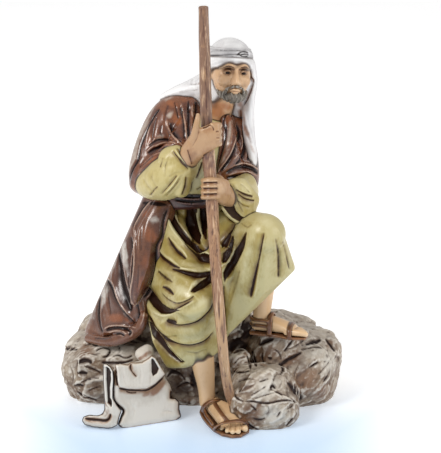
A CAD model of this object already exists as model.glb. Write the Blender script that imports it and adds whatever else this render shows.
"""The painted surface of the seated guard figurine, over its cast solids.

Shapes are drawn in millimetres in the drawing's axes (+X the viewer's right, -Y the front, +Z up) and shifted by MIDDLE to
the part's frame in metres. Folds are drawn as strokes in pixels of the 441 x 453 view and pressed into the surface they fall
on; what they leave dark is kept as a vertex attribute, and the paint's materials read it."""
import math
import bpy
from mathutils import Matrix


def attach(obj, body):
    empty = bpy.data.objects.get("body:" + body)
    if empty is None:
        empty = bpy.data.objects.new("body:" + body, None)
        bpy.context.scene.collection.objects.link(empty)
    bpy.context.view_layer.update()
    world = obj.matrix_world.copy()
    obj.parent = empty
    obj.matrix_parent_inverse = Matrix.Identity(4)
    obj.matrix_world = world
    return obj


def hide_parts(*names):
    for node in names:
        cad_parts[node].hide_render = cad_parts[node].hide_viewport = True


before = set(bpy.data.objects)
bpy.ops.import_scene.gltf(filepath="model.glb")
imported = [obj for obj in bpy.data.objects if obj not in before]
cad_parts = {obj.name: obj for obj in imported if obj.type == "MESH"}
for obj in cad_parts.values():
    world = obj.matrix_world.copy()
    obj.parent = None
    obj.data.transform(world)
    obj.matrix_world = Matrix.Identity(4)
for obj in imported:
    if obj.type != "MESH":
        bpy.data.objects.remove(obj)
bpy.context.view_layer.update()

import bmesh
import bpy
import numpy as np
from mathutils import Euler, Vector
from mathutils.bvhtree import BVHTree

MIDDLE = np.array([-13.1, -9.0, 0.0])
LEDGE_TOP = 53.5
SOLE = 2.6
FINGER = 1.9
SEAT_TOP = 98.0
STAFF_TOP = 272.0

HIP_R, HIP_L = (-30, 5, 110), (2, 5, 112)
KNEE_R, KNEE_L = (-16, -55, 86), (28, -55, 129)
ANKLE_R = (-8.5, -41, 14)
WRIST_R, WRIST_L = (-20, -43, 178), (9, -40, 155)
HEAD_C = (6.2, -16, 227.4)
HEAD_TURN = (-7, 5, 14)
STAFF_AXIS = [(15.0, -51.5, 2.4), (9.5, -54, 12), (5.6, -58, 24), (2.6, -64, 44), (0.3, -69, 72), (-2.4, -67, 104),
              (-4.6, -58.5, 138), (-5.8, -54, 158), (-7.6, -51.5, 180), (-8.9, -49, 206), (-9.8, -45, 240), (-10.5, -41, STAFF_TOP - 1.5)]
STAFF_R = [2.6, 3.0, 3.2, 3.3, 3.5, 3.7, 3.9, 4.0, 4.0, 3.8, 3.6, 3.3]

# ---------------------------------------------------------------- the view
FRAME_W, FRAME_H = 441, 453
DISTANCE, ELEVATION, AIM_Z, FOCAL = 1100.0, math.radians(15.0), 119.4, 1654.0   # mm, radians, mm, pixels
AHEAD = np.array([0, math.cos(ELEVATION), -math.sin(ELEVATION)])
OVER = np.array([0, math.sin(ELEVATION), math.cos(ELEVATION)])
EYE = np.array([0, 0, AIM_Z]) - AHEAD * DISTANCE


def seen(p):
    """Pixels (u, v) of points in the drawing's millimetres."""
    r = p - EYE
    d = r @ AHEAD
    return np.stack([FRAME_W / 2 + FOCAL * r[:, 0] / d, FRAME_H / 2 - FOCAL * (r @ OVER) / d], 1)


def sight(u, v):
    return np.multiply.outer(np.asarray(u, float) - FRAME_W / 2, (1.0, 0.0, 0.0)) + FOCAL * AHEAD - np.multiply.outer(np.asarray(v, float) - FRAME_H / 2, OVER)


def at_y(u, v, y):
    """The drawing's point seen at pixel (u, v), that far away (+Y)."""
    r = sight(u, v)
    return EYE + r * ((np.asarray(y, float) - EYE[1]) / r[..., 1])[..., None]


def at_z(u, v, z):
    """The drawing's point seen at pixel (u, v), at that height."""
    r = sight(u, v)
    return EYE + r * ((np.asarray(z, float) - EYE[2]) / r[..., 2])[..., None]


def inside(uv, outline):
    """Distance in pixels from each of uv to the outline, positive inside it."""
    p = np.asarray(outline, float)
    best, odd = np.full(len(uv), 1e9), np.zeros(len(uv), bool)
    for a, b in zip(p, np.roll(p, -1, 0)):
        e = b - a
        f = np.clip(((uv - a) @ e) / max(e @ e, 1e-9), 0, 1)
        best = np.minimum(best, np.linalg.norm(uv - a - f[:, None] * e, axis=1))
        crosses = (a[1] > uv[:, 1]) != (b[1] > uv[:, 1])
        odd ^= crosses & (uv[:, 0] < a[0] + (uv[:, 1] - a[1]) * e[0] / (e[1] if abs(e[1]) > 1e-9 else 1e-9))
    return np.where(odd, best, -best)


# ---------------------------------------------------------------- shapes, each a closed shell (points, faces)
def smooth_path(points, n):
    p = np.asarray(points, float)
    if len(p) == 2:
        t = np.linspace(0, 1, n)[:, None]
        return p[0] * (1 - t) + p[1] * t
    p = np.vstack([2 * p[0] - p[1], p, 2 * p[-1] - p[-2]])
    t = np.linspace(0, len(p) - 3 - 1e-9, n)
    i = t.astype(int)
    f = (t - i)[:, None]
    a, b, c, d = p[i], p[i + 1], p[i + 2], p[i + 3]
    return 0.5 * (2 * b + (c - a) * f + (2 * a - 5 * b + 4 * c - d) * f**2 + (3 * b - a - 3 * c + d) * f**3)


def tube(points, radii, side=(1, 0, 0), ring=24, steps=None, dome=0.6, power=2.0, closed=False):
    r = np.array([(x, x) if np.isscalar(x) else x for x in radii], float)
    rows = np.hstack([np.asarray(points, float), r])
    if closed:
        n = len(rows)
        s = smooth_path(np.vstack([rows[-1], rows, rows[:2]]), (n + 2) * 6 + 1)[6:-6][: n * 6]
    else:
        s = smooth_path(rows, steps or max(8, 6 * len(rows)))
    c, r = s[:, :3], np.maximum(s[:, 3:], 0.05)
    t = np.roll(c, -1, 0) - np.roll(c, 1, 0) if closed else np.gradient(c, axis=0)
    t /= np.linalg.norm(t, axis=1)[:, None]
    u = np.asarray(side, float) - t * (t @ np.asarray(side, float))[:, None]
    u /= np.linalg.norm(u, axis=1)[:, None]
    w = np.cross(t, u)
    if not closed and dome > 0:
        caps = [(0.95, 0.3), (0.78, 0.62), (0.45, 0.89)]
        lo = [(c[0] - t[0] * r[0].min() * dome * k[1], r[0] * k[0], u[0], w[0]) for k in caps][::-1]
        hi = [(c[-1] + t[-1] * r[-1].min() * dome * k[1], r[-1] * k[0], u[-1], w[-1]) for k in caps]
        c, r, u, w = (np.vstack([[x[i] for x in lo], (c, r, u, w)[i], [x[i] for x in hi]]) for i in range(4))
    a = np.arange(ring) * 2 * math.pi / ring
    ca, sa = (np.sign(x) * np.abs(x) ** (2 / power) for x in (np.cos(a), np.sin(a)))
    v = c[:, None] + u[:, None] * (r[:, 0:1] * ca)[:, :, None] + w[:, None] * (r[:, 1:2] * sa)[:, :, None]
    m = len(c)
    faces = []
    for i in range(m if closed else m - 1):
        for j in range(ring):
            k, i2 = (j + 1) % ring, (i + 1) % m
            faces.append((i * ring + j, i * ring + k, i2 * ring + k, i2 * ring + j))
    if not closed:
        faces.append(tuple(range(ring - 1, -1, -1)))
        faces.append(tuple((m - 1) * ring + j for j in range(ring)))
    return v.reshape(-1, 3), faces


def ball(centre, radii, turn=(0, 0, 0), detail=3):
    bm = bmesh.new()
    bmesh.ops.create_icosphere(bm, subdivisions=detail, radius=1.0)
    v = np.array([x.co for x in bm.verts])
    f = [tuple(x.index for x in face.verts) for face in bm.faces]
    bm.free()
    m = np.array(Euler([math.radians(x) for x in turn]).to_matrix())
    r = np.array([radii] * 3 if np.isscalar(radii) else radii, float)
    return (v * r) @ m.T + np.array(centre, float), f


def wrap(*balls):
    """Cloth pulled tight over balls (x, y, z, radius): their convex hull."""
    bm = bmesh.new()
    for b in balls:
        for p in ball(b[:3], b[3], detail=3 if b[3] > 7 else 2)[0]:
            bm.verts.new(p)
    out = bmesh.ops.convex_hull(bm, input=bm.verts, use_existing_faces=False)
    loose = [x for x in set(out["geom_interior"] + out["geom_unused"]) if isinstance(x, bmesh.types.BMVert)]
    bmesh.ops.delete(bm, geom=loose, context="VERTS")
    bmesh.ops.recalc_face_normals(bm, faces=bm.faces)
    bm.verts.index_update()
    v = np.array([x.co for x in bm.verts])
    f = [tuple(x.index for x in face.verts) for face in bm.faces]
    bm.free()
    return v, f


def lump(*balls):
    """wrap, with each ball at a pixel and a distance: (u, v, y, radius)."""
    return wrap(*[(*at_y(u, v, y), r) for u, v, y, r in balls])


def cord(points, side=(1, 0, 0), ring=14, by_height=False, dome=0.8, steps=None):
    """A tube through pixels: (u, v, y or height, radius or pair of radii)."""
    at = at_z if by_height else at_y
    return tube([at(q[0], q[1], q[2]) for q in points], [q[3] for q in points], side=side, ring=ring, dome=dome, steps=steps)


def sheet(outline, front, back, step=0.8):
    """A closed shell with this outline in the view: front and back give its distance (y) at (u, v) and depth inside the edge."""
    p = np.array(outline, float)
    lo, hi = p.min(0) - 1, p.max(0) + 1
    nu, nv = (int(x / step) + 2 for x in (hi - lo))
    gu, gv = np.meshgrid(lo[0] + step * np.arange(nu), lo[1] + step * np.arange(nv), indexing="ij")
    d = inside(np.stack([gu.ravel(), gv.ravel()], 1), p).reshape(nu, nv)
    # points just outside are drawn in to the outline
    near, far = at_y(gu, gv, front(gu, gv, np.maximum(d, 0))), at_y(gu, gv, back(gu, gv, np.maximum(d, 0)))
    ok = d > -0.5 * step
    cell = ok[:-1, :-1] & ok[1:, :-1] & ok[1:, 1:] & ok[:-1, 1:]
    n = nu * nv
    idx = np.arange(n).reshape(nu, nv)
    a, b, c, e = idx[:-1, :-1][cell], idx[1:, :-1][cell], idx[1:, 1:][cell], idx[:-1, 1:][cell]
    top = np.stack([a, b, c, e], 1)
    edges = np.concatenate([top[:, [0, 1]], top[:, [1, 2]], top[:, [2, 3]], top[:, [3, 0]]])
    key = np.sort(edges, axis=1)
    _, first, count = np.unique(key, axis=0, return_index=True, return_counts=True)
    rim = edges[first[count == 1]]
    walls = np.stack([rim[:, 1], rim[:, 0], rim[:, 0] + n, rim[:, 1] + n], 1)
    faces = np.concatenate([top, (top + n)[:, ::-1], walls])
    used, compact = np.unique(faces, return_inverse=True)
    points = np.concatenate([near.reshape(-1, 3), far.reshape(-1, 3)])[used]
    return points, [tuple(f) for f in compact.reshape(-1, 4).tolist()]


def rounded(d, edge):
    return np.sqrt(1 - (1 - np.clip(d / edge, 0, 1)) ** 2)


def chips(p, size, seed, along=None, stretch=1.0):
    """Broken facets: each cell of a scattered pattern is a plane with its own slope. Returns height (about -1 to 1) and a tone 0 to 1."""
    q = np.asarray(p, float) / size
    if along is not None:
        a = np.asarray(along, float) / np.linalg.norm(along)
        q = q - np.multiply.outer(q @ a, a) * (1 - 1 / stretch)
    base = np.floor(q).astype(np.int64)
    best, height, tone = np.full(len(q), 1e9), np.zeros(len(q)), np.zeros(len(q))
    for dx in (-1, 0, 1):
        for dy in (-1, 0, 1):
            for dz in (-1, 0, 1):
                c = base + np.array([dx, dy, dz])
                o = c + np.stack([hash01(c, seed), hash01(c, seed + 1), hash01(c, seed + 2)], 1)
                r = q - o
                d = (r**2).sum(1)
                slope = np.stack([hash01(c, seed + 3), hash01(c, seed + 4), hash01(c, seed + 5)], 1) - 0.5
                near = d < best
                best[near] = d[near]
                height[near] = ((r * slope).sum(1) * 2.2 + hash01(c, seed + 6) - 0.5)[near]
                tone[near] = hash01(c, seed + 7)[near]
    return height, tone


def hash01(i, seed):
    h = (i[..., 0] * 73856093) ^ (i[..., 1] * 19349663) ^ (i[..., 2] * 83492791) ^ (seed * 2654435761)
    h = (h ^ (h >> 13)) * 1274126177 & 0x7FFFFFFF
    h = (h ^ (h >> 15)) * 668265263 & 0x7FFFFFFF
    return (h & 0xFFFFFF) / float(0xFFFFFF)


def grain(p, size, seed=0, octaves=3, ridged=False):
    """Smooth noise from -1 to 1 at points p, with features of that size."""
    p = np.asarray(p, float) / size
    total, amount, norm = 0.0, 1.0, 0.0
    for o in range(octaves):
        b = np.floor(p).astype(np.int64)
        f = p - b
        f = f * f * (3 - 2 * f)
        out = 0.0
        for dx in (0, 1):
            for dy in (0, 1):
                for dz in (0, 1):
                    w = (f[:, 0] if dx else 1 - f[:, 0]) * (f[:, 1] if dy else 1 - f[:, 1]) * (f[:, 2] if dz else 1 - f[:, 2])
                    out = out + w * hash01(b + np.array([dx, dy, dz]), seed + 17 * o)
        out = 2 * out - 1
        if ridged:
            out = 1 - 2.6 * np.abs(out)
        total = total + amount * out
        norm += amount
        amount *= 0.5
        p = p * 2.03 + 5.2
    return total / norm


def boulder(centre, radii, seed, facets=13, flat=0.76, box=2.9, detail=5):
    d, f = ball((0, 0, 0), 1.0, detail=detail)
    v = d / (np.abs(d) ** box).sum(1)[:, None] ** (1 / box)
    rng = np.random.default_rng(seed)
    n = rng.normal(size=(facets, 3))
    n /= np.linalg.norm(n, axis=1)[:, None]
    over = np.maximum((v @ n.T) / (rng.uniform(flat, 0.97, facets) * np.max(v @ n.T, axis=0)), 0)
    v = v / (1 + (over**18).sum(1))[:, None] ** (1 / 18)
    v = v * (1 + 0.055 * grain(d, 0.42, seed))[:, None]
    return v * np.array(radii, float) * 1.03 + np.array(centre, float), f


# ---------------------------------------------------------------- the masses
def rocks():
    stones = [
        ((-83, 9, 17), (25, 31, 26), 3),
        ((-57, -3, 16), (29, 24, 25), 8),
        ((-12, -2, 18), (31, 25, 24), 5),
        ((11, 2, LEDGE_TOP - 18), (17, 20, 36), 12),
        ((37, -9, 25), (21, 24, LEDGE_TOP - 24), 21),
        ((55, -1, 20), (27.5, 33, 27), 33),
        ((28.5, -44.5, 14), (23.5, 22.5, 22), 41),
        ((-20, 26, SEAT_TOP / 2), (42, 30, SEAT_TOP / 2), 55),
        ((-60, 34, 22), (40, 22, 30), 62),
        ((34, 26, 22), (38, 26, 28), 71),
    ]
    out = [boulder(*s) for s in stones]
    out.append(wrap((-84, 4, 4, 7), (-50, -14, 4, 7), (50, -14, 4, 7), (60, 6, 4, 7), (38, 36, 4, 7), (-70, 38, 4, 7)))
    out.append(tube([(12, -24, 22), (12.6, -28, 33), (13.6, -31, 40)], [7.6, 7.0, 6.0], dome=0.35, ring=9))
    return out


def cloak():
    hem = 44.0
    body = wrap((-40, 2, 136, 12), (-16, 22, 140, 15), (-88, 6, hem, 4.5), (-66, -16, hem + 9, 4.5), (-52, -20, hem + 24, 4),
                (-84, 44, hem, 5), (-30, 54, hem - 2, 5))
    right = wrap((-16, 22, 138, 15), (8, 14, 118, 12), (-30, 54, hem - 2, 5), (12, 46, hem, 5), (20, 26, hem + 10, 5))
    edge = tube([(-36, -12, 138), (-45, -20, 116), (-52, -26, 92), (-57, -27, 74)], [(8, 5), (11, 6), (8, 5), (2, 2)],
                side=(1, 0.25, 0), ring=32)
    roll = tube([(-90, 0, 41), (-76, -16, 44), (-64, -22, 49), (-54, -25, 56), (-50, -25, 66)], [3.2, 3.6, 4.0, 3.8, 3.0], ring=16)
    return [body, right, edge, roll]


def tunic():
    torso = tube([(-16, 8, 108), (-16, 4, 136), (-13, -5, 168), (-10, -4, 188)], [(29, 22), (24, 17), (27, 20), (24, 14)], ring=32)
    lap_r = wrap((*HIP_R, 20), (*KNEE_R, 15.5), (-36, -10, 92, 14), (-31, -12, 124, 8), (-37, -15, 104, 8), (-40, -18, 86, 8))
    lap_l = wrap((*HIP_L, 19), (*KNEE_L, 13.5))
    web = wrap((-10, -4, 116, 14), (-12, -40, 92, 12), (21, -42, 119, 11), (-3, -38, 52, 5), (12, -40, 77, 5), (14, -10, 100, 14))
    skirt_r = wrap((KNEE_R[0], KNEE_R[1] + 2, KNEE_R[2] - 2, 15), (-40, -16, 84, 8), (-43, -24, 62, 5), (-41, -30, 50, 4.2), (-33, -37, 37, 4.2),
                   (-24, -45, 40, 4.2), (-12, -51, 46, 4.2), (-3, -46, 51, 4.2), (-22, -20, 50, 6))
    skirt_l = wrap((KNEE_L[0] - 1, KNEE_L[1] + 1, KNEE_L[2] - 1, 13), (45.5, -46, 104, 2.6), (42, -28, 108, 3), (26, -53, 91, 3),
                   (14, -48, 79, 3), (4, -42, 62, 4), (10, -28, 104, 8))
    return [torso, lap_r, lap_l, web, skirt_r, skirt_l]


def coat():
    back = tube([(-16, 12, 128), (-14, 9, 150), (-13, 4, 172), (-11, 3, 191)], [(27, 20), (28, 19), (30, 19), (25, 14)], ring=32)
    arm_r = tube([(-19, 2, 196.5), (-30.5, 0, 193), (-39.5, -7, 179), (-46, -15, 160), (-49, -18, 151)], [12.5, 14.6, 14.6, 14, 11], ring=32)
    fall_r = tube([(-48, -20, 152), (-42, -26.5, 163), (-33, -31, 172), (-25, -33, 181)], [(9, 9), (10, 8.5), (9.5, 8), (7, 6)], ring=24)
    lapel_r = wrap((-20, -12, 193, 7), (-27, -24, 181, 7), (-21, -26, 168, 5), (-24, -20, 150, 5))
    arm_l = tube([(2, 2, 190), (9, 0, 182), (12.5, -3, 167), (13.5, -6, 152), (14, -8, 143)], [10.5, 12, 12.3, 12, 9], ring=32)
    lapel_l = wrap((4, -12, 194, 4), (6, -22, 179, 5), (1, -25, 162, 4), (3, -24, 150, 4), (10, -16, 160, 6))
    return [back, arm_r, fall_r, lapel_r, arm_l, lapel_l]


def sleeves():
    r = tube([(-48, -22, 153), (-42.5, -28, 156), (-34, -35, 161), (-26, -40, 169), (-22, -42.5, 176)], [8.5, 11.5, 14, 12, 8.5], ring=32)
    cuff_r = lump((177, 150, -44, 3.4), (184, 158, -47, 4.4), (186.5, 170, -46, 4.6), (181, 188, -42, 6.5), (172, 160, -40, 9))
    left = wrap((14, -14, 147, 11), (17, -23, 138, 7), (10, -34, 151, 8.5), (16, -20, 153, 7.5))
    cuff_l = lump((232.5, 186, -44, 5.0), (236, 202, -43, 5.0), (245, 215, -41, 5.4), (248, 200, -36, 7.5), (240, 187, -38, 6.5))
    under = lump((224.5, 207.5, -46, 2.4), (229, 213.5, -46, 2.6), (237, 219.5, -45, 2.8), (244, 218.5, -43, 3.6), (238, 206, -40, 5))
    return [r, cuff_r, left, cuff_l, under]


def sash():
    n = 14
    a = [i * 2 * math.pi / n for i in range(n)]
    return [tube([(-16 + 26.5 * math.cos(x), 5 + 21.5 * math.sin(x), 141 + 2.5 * math.cos(x)) for x in a], [(5.5, 2.6)] * n,
                 side=(0, 0, 1), ring=16, closed=True)]


def in_head():
    m = Euler([math.radians(x) for x in HEAD_TURN]).to_matrix()
    return lambda x, y, z: tuple(np.array(m @ Vector((x, y, z))) + np.array(HEAD_C, float))


def to_head(p):
    """Points in the head's own axes, millimetres from its middle."""
    m = np.array(Euler([math.radians(x) for x in HEAD_TURN]).to_matrix())
    return (p - np.array(HEAD_C, float)) @ m


def head():
    at = in_head()
    out = [ball(at(0, 2, 4.4), (13.4, 15.3, 13.8), HEAD_TURN, 4), ball(at(0, -4.2, -3.4), (12.0, 11.8, 15.4), HEAD_TURN, 4)]
    out.append(wrap((*at(0, -15.6, 0.8), 1.3), (*at(0, -19.2, -7.0), 1.7), (*at(-2.2, -16.4, -8.0), 1.3), (*at(2.2, -16.4, -8.0), 1.3), (*at(0, -17.6, -3.4), 1.5)))
    out.append(tube([at(-9.6, -10.3, 1.0), at(-5.2, -14.9, 2.8), at(0, -15.6, 2.4), at(5.2, -14.9, 2.8), at(9.6, -10.3, 1.0)], [0.9, 1.8, 1.3, 1.8, 0.9], ring=14))
    for s in (-1, 1):
        out.append(ball(at(7.0 * s, -11.2, -6.4), (3.7, 3.2, 4.0), HEAD_TURN))                       # cheek
        out.append(ball(at(11.2 * s, -1.0, -2.5), (1.8, 2.4, 4.6), HEAD_TURN))                       # ear, under the cloth
    out.append(tube([at(-3.8, -14.8, -12.6), at(-1.2, -16.3, -11.9), at(0, -16.3, -12.2), at(1.2, -16.3, -11.9), at(3.8, -14.8, -12.6)],
                    [0.3, 0.75, 0.7, 0.75, 0.3], ring=12))
    out.append(tube([at(-3.2, -14.6, -13.4), at(0, -16.0, -13.9), at(3.2, -14.6, -13.4)], [0.3, 0.9, 0.3], ring=12))
    out.append(ball(at(0, -12.6, -17.0), (4.4, 3.6, 3.0), HEAD_TURN))
    out.append(tube([(-5, 4, 184), (-2, -4, 198), (2, -9, 212)], [10.5, 9.4, 9.5], ring=24))
    return out


def eyes():
    at = in_head()
    return [ball(at(5.3 * s, -12.1, -1.5), 2.3) for s in (-1, 1)]


def lids():
    at = in_head()
    out = []
    for s in (-1, 1):
        out.append(tube([at(2.5 * s, -13.5, -1.9), at(3.9 * s, -14.5, -0.6), at(5.6 * s, -14.5, -0.3), at(8.1 * s, -12.6, -1.7)], [0.35, 0.6, 0.65, 0.35], ring=10))
        out.append(tube([at(2.6 * s, -13.5, -2.1), at(5.2 * s, -14.2, -2.9), at(7.9 * s, -12.6, -2.0)], [0.35, 0.55, 0.35], ring=10))
    return out


def beard():
    at = in_head()
    jaw = tube([at(-10.0, -5.6, -12.6), at(-8.8, -7.8, -14.4), at(-5.6, -11.2, -16.8), at(0, -13.2, -18.2), at(5.6, -11.2, -16.8), at(8.8, -7.8, -14.4), at(10.0, -5.6, -12.6)],
               [(0.5, 0.6), (1.5, 1.3), (2.3, 2.1), (2.7, 2.5), (2.3, 2.1), (1.5, 1.3), (0.5, 0.6)], side=(0, 0, 1), ring=20, steps=40)
    out = [jaw, ball(at(0, -13.3, -16.9), (6.0, 3.7, 3.4), HEAD_TURN)]
    for s in (-1, 1):
        out.append(tube([at(0.2 * s, -16.9, -9.9), at(2.4 * s, -16.1, -10.3), at(4.6 * s, -14.5, -11.4), at(6.0 * s, -12.9, -13.4), at(6.6 * s, -11.6, -16.0)], [(0.5, 0.7), (0.6, 0.9), (0.6, 0.9), (0.7, 1.1), (1.0, 1.2)], side=(0, 1, 0), ring=14))
    return out


def brows():
    at = in_head()
    return [tube([at(2.4 * s, -16.8, 2.0), at(5.6 * s, -16.6, 2.4), at(8.2 * s, -13.6, 1.5)], [0.5, 0.7, 0.3], ring=10) for s in (-1, 1)]


def scarf():
    at = in_head()
    cap = ball(at(0, 3.4, 6.2), (14.5, 17.6, 14.4), HEAD_TURN, 4)
    hood = wrap((*at(-8.5, 4, 2), 7.5), (*at(8.5, 4, 2), 7.5), (*at(-7.5, 9, -14), 8), (*at(7.5, 9, -14), 8))
    side_r = wrap((*at(-12.4, 0, 1), 3.0), (-10, 0, 212, 6.5), (-14, 3, 207, 6))
    fall_r = tube([(-8, 2, 217), (-19, 2, 211.5), (-29, 2, 207.5), (-37.5, 3, 203.5)], [(7, 7), (6.5, 6.5), (4.6, 6), (3.4, 5)], side=(0, 1, 0), ring=24)
    side_l = tube([at(13.2, -4, 5), (21.6, -9, 219), (20.0, -9, 208), (18.2, -9.5, 197), (18.6, -9.5, 184), (20.6, -7.5, 168), (21.6, -4, 152)],
                  [(2.2, 4), (2.4, 6), (2.6, 6.5), (3.8, 7), (4, 7), (3.6, 7), (2.4, 4)], ring=24)
    back = tube([(0, 2, 214), (-5, 9, 200), (-10, 16, 184), (-14, 22, 166), (-17, 27, 146)], [(15, 9), (24, 10), (31, 10), (36, 9), (38, 7)],
                ring=40, dome=0.5)
    tail = tube([(-34, 6, 203), (-42.5, 2, 191), (-49, -3, 178), (-53.8, -7, 166), (-57.6, -11, 155)], [(4, 7), (4.0, 8), (4.0, 8), (3.4, 8), (2.4, 6)], ring=20)
    nape = wrap((*at(9, 3, -8), 6), (12, -1, 199, 6.5), (4, 4, 204, 9))
    n = 16
    a = [i * 2 * math.pi / n for i in range(n)]
    roll = tube([at(14.3 * math.cos(x), 2.8 + 17.3 * math.sin(x), 4.0 - 0.4 * math.sin(x)) for x in a], [(3.8, 1.7)] * n,
                side=(0, 0, 1), ring=16, closed=True)
    return [cap, hood, nape, side_r, fall_r, side_l, back, tail, roll]


def band():
    """The twisted cord round the crown, in two turns, and its knot."""
    at = in_head()
    n = 20
    a = [i * 2 * math.pi / n for i in range(n)]
    out = []
    for z, r in ((8.9, 0.6), (10.9, 0.75), (12.9, 0.6)):
        k = math.sqrt(max(0.05, 1 - ((z - 6.2) / 14.4) ** 2))
        out.append(tube([at(14.7 * k * math.cos(x), 3.4 + 17.9 * k * math.sin(x), z + 0.3 * math.sin(3 * x)) for x in a], [(1.3, r)] * n,
                        side=(0, 0, 1), ring=14, closed=True))
    out.append(ball(at(6.4, -11.6, 11.2), (3.4, 1.7, 2.0), HEAD_TURN))
    return out


def finger(points, r=FINGER):
    return tube(points, [r] * len(points), side=(0, 0, 1), ring=16, dome=1.0)


STAFF_LINE = smooth_path(STAFF_AXIS, 400)


def staff_at(z):
    return STAFF_LINE[np.argmin(np.abs(STAFF_LINE[:, 2] - z))]


def hands():
    out = []
    # the upper hand: its back towards the front, the fingers closing round the stick from the right
    out.append(lump((188.5, 157, -45, 7.2), (194, 145, -51, 5.6), (201, 150, -53, 4.2), (199, 134, -53, 4.2)))
    out.append(lump((194, 145, -51, 5.6), (202, 151, -53, 3.6), (203, 131.5, -56, 3.0), (216, 126, -56.5, 2.6), (217.2, 132, -57.5, 2.6), (217, 138, -57.5, 2.6), (214, 144.5, -57, 2.7)))
    for i, v in enumerate((125.2, 131.4, 137.6, 143.4)):
        out.append(cord([(212, v + 0.4, -57.5, 2.1), (217.6, v, -56.5, 2.1), (219.2, v + 0.3, -51.5, 2.0), (215, v + 0.8, -46, 1.9), (208, v + 1.2, -44.5, 1.8)], side=(0, 0, 1)))
    out.append(cord([(193.5, 141, -54, 2.8), (195.8, 129, -56, 2.3), (197.4, 120, -56, 1.8), (198.0, 114.5, -55, 1.3)], side=(1, 0, 0)))
    # the lower hand: four fingers in front of the stick, its back to the right
    out.append(lump((218, 181, -57, 2.4), (219, 186.5, -57.5, 2.5), (218.6, 192, -57.5, 2.5), (216.5, 197.2, -56.5, 2.4), (224.5, 184.5, -53, 3.6), (225.5, 192.5, -52, 4.0), (223, 199.5, -52, 3.6)))
    out.append(lump((224, 190, -50, 5.0), (224.5, 198, -48, 5.2), (231, 199, -43, 5.5)))
    for i, v in enumerate((180.0, 185.6, 191.2, 196.6)):
        out.append(cord([(219, v + 0.6, -57.2, 1.85), (213, v, -60.2, 1.85), (207, v + 0.2, -59.8, 1.8), (203.2, v + 0.6, -55.5, 1.7), (203.5, v + 0.8, -51, 1.6)], side=(0, 0, 1)))
    x, y, z = staff_at(157)
    out.append(finger([(x + 8, y + 3.5, z + 4), (x + 4.5, y + 5.6, z + 7.2), (x - 2, y + 6, z + 7.5)], 2.2))
    return out


def foot_axes(heel, toe, lift):
    h, t = np.array([*heel, 0.0]), np.array([*toe, 0.0])
    length = np.linalg.norm(t - h)
    d = (t - h) / length
    s = np.array([d[1], -d[0], 0.0])
    return (lambda f, across, up: tuple(h + d * length * f + s * across + np.array([0, 0, lift + up]))), tuple(s)


def foot(heel, toe, lift):
    at, s = foot_axes(heel, toe, lift)
    upper = tube([at(0.10, 0, SOLE + 4.8), at(0.32, 0, SOLE + 5.4), at(0.55, 0.2, SOLE + 4.2), at(0.74, 0.6, SOLE + 2.8)],
                 [(4.6, 5), (5.2, 5.6), (6.2, 4.4), (7.2, 2.9)], side=s, ring=24, dome=0.7)
    toes = []
    for i in range(5):
        across, r, reach = -5.4 + i * 2.75, (1.5, 1.5, 1.6, 1.7, 2.25)[i], (0.86, 0.91, 0.95, 0.98, 0.99)[i]
        toes.append(tube([at(0.66, across * 0.85 + 0.6, SOLE + 1.9), at(reach - 0.1, across + 0.6, SOLE + r + 0.2), at(reach, across + 0.5, SOLE + r * 0.8)],
                         [r, r, r * 0.8], side=s, ring=14, dome=1.0))
    return [upper, *toes]


FEET = [((-8.4, -31.5), (14.4, -73), 0), ((19.5, -25.5), (57.5, -36), LEDGE_TOP)]
SOLE_LINE = [(199.3, 414), (201.5, 419), (206, 425), (213, 432), (221.5, 436.6), (232, 438.8), (241.5, 438), (249.3, 433.6), (249.6, 428.5), (246, 423.5), (239, 420.5),
             (233, 413), (226, 405), (217, 401.5), (208, 402.5), (201.5, 408)]


def sole_plate():
    """The sole of the foot on the ground, drawn by its outline at the sole's top."""
    p = at_z(*np.array(SOLE_LINE, float).T, 0.3)
    c = p.mean(0)
    rings = []
    for z, k in ((0.0, 0.955), (0.6, 1.0), (SOLE - 0.5, 1.0), (SOLE, 0.97)):
        q = c + (p - c) * k
        q[:, 2] = z
        rings.append(q)
    n = len(p)
    faces = [tuple(range(n)), tuple(3 * n + i for i in range(n - 1, -1, -1))]
    for k in range(3):
        for i in range(n):
            j = (i + 1) % n
            faces.append((k * n + i, (k + 1) * n + i, (k + 1) * n + j, k * n + j))
    return np.vstack(rings), faces


def feet():
    shin_r = tube([(-15, -50, 66), (-11.5, -45.5, 40), (-9.4, -41.5, 22), (ANKLE_R[0], ANKLE_R[1], 10)], [9.5, 7.6, 5.8, 5.4], ring=24)
    shin_l = tube([(29, -46, 112), (28, -36, 92), (27.4, -29, 72), (26.4, -26, LEDGE_TOP + 9)], [9, 7.6, 6.0, 5.2], ring=24)
    at = lambda u, v, z, r: (*at_z(u, v, z), r)
    near = [wrap(at(209, 401, 7.5, 5.3), at(216.5, 407, 9, 6.0), at(222.5, 419, 6.6, 4.6), at(236, 418, 6.6, 4.4), at(228, 411, 9, 5.4)),
            wrap(at(222.5, 419, 6.0, 4.2), at(236, 418, 6.2, 4.2), at(225.5, 426, 4.6, 2.2), at(241, 424.5, 4.8, 2.4))]
    for (u0, v0), (u1, v1), r in (((225, 422), (221.8, 428.6), 1.5), ((229.5, 422), (227.2, 431), 1.65), ((233.5, 422), (232.6, 432), 1.75), ((237.5, 421), (238.2, 431.6), 1.9), ((240, 419), (244.8, 428.8), 2.4)):
        near.append(cord([(u0, v0, 5.2, r), ((u0 + u1) / 2, (v0 + v1) / 2, 5.0, r), (u1, v1, 4.2, r * 0.95)], side=(1, 0, 0), by_height=True, dome=1.0))
    return [shin_r, shin_l, *near, *foot(*FEET[1])]


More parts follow.
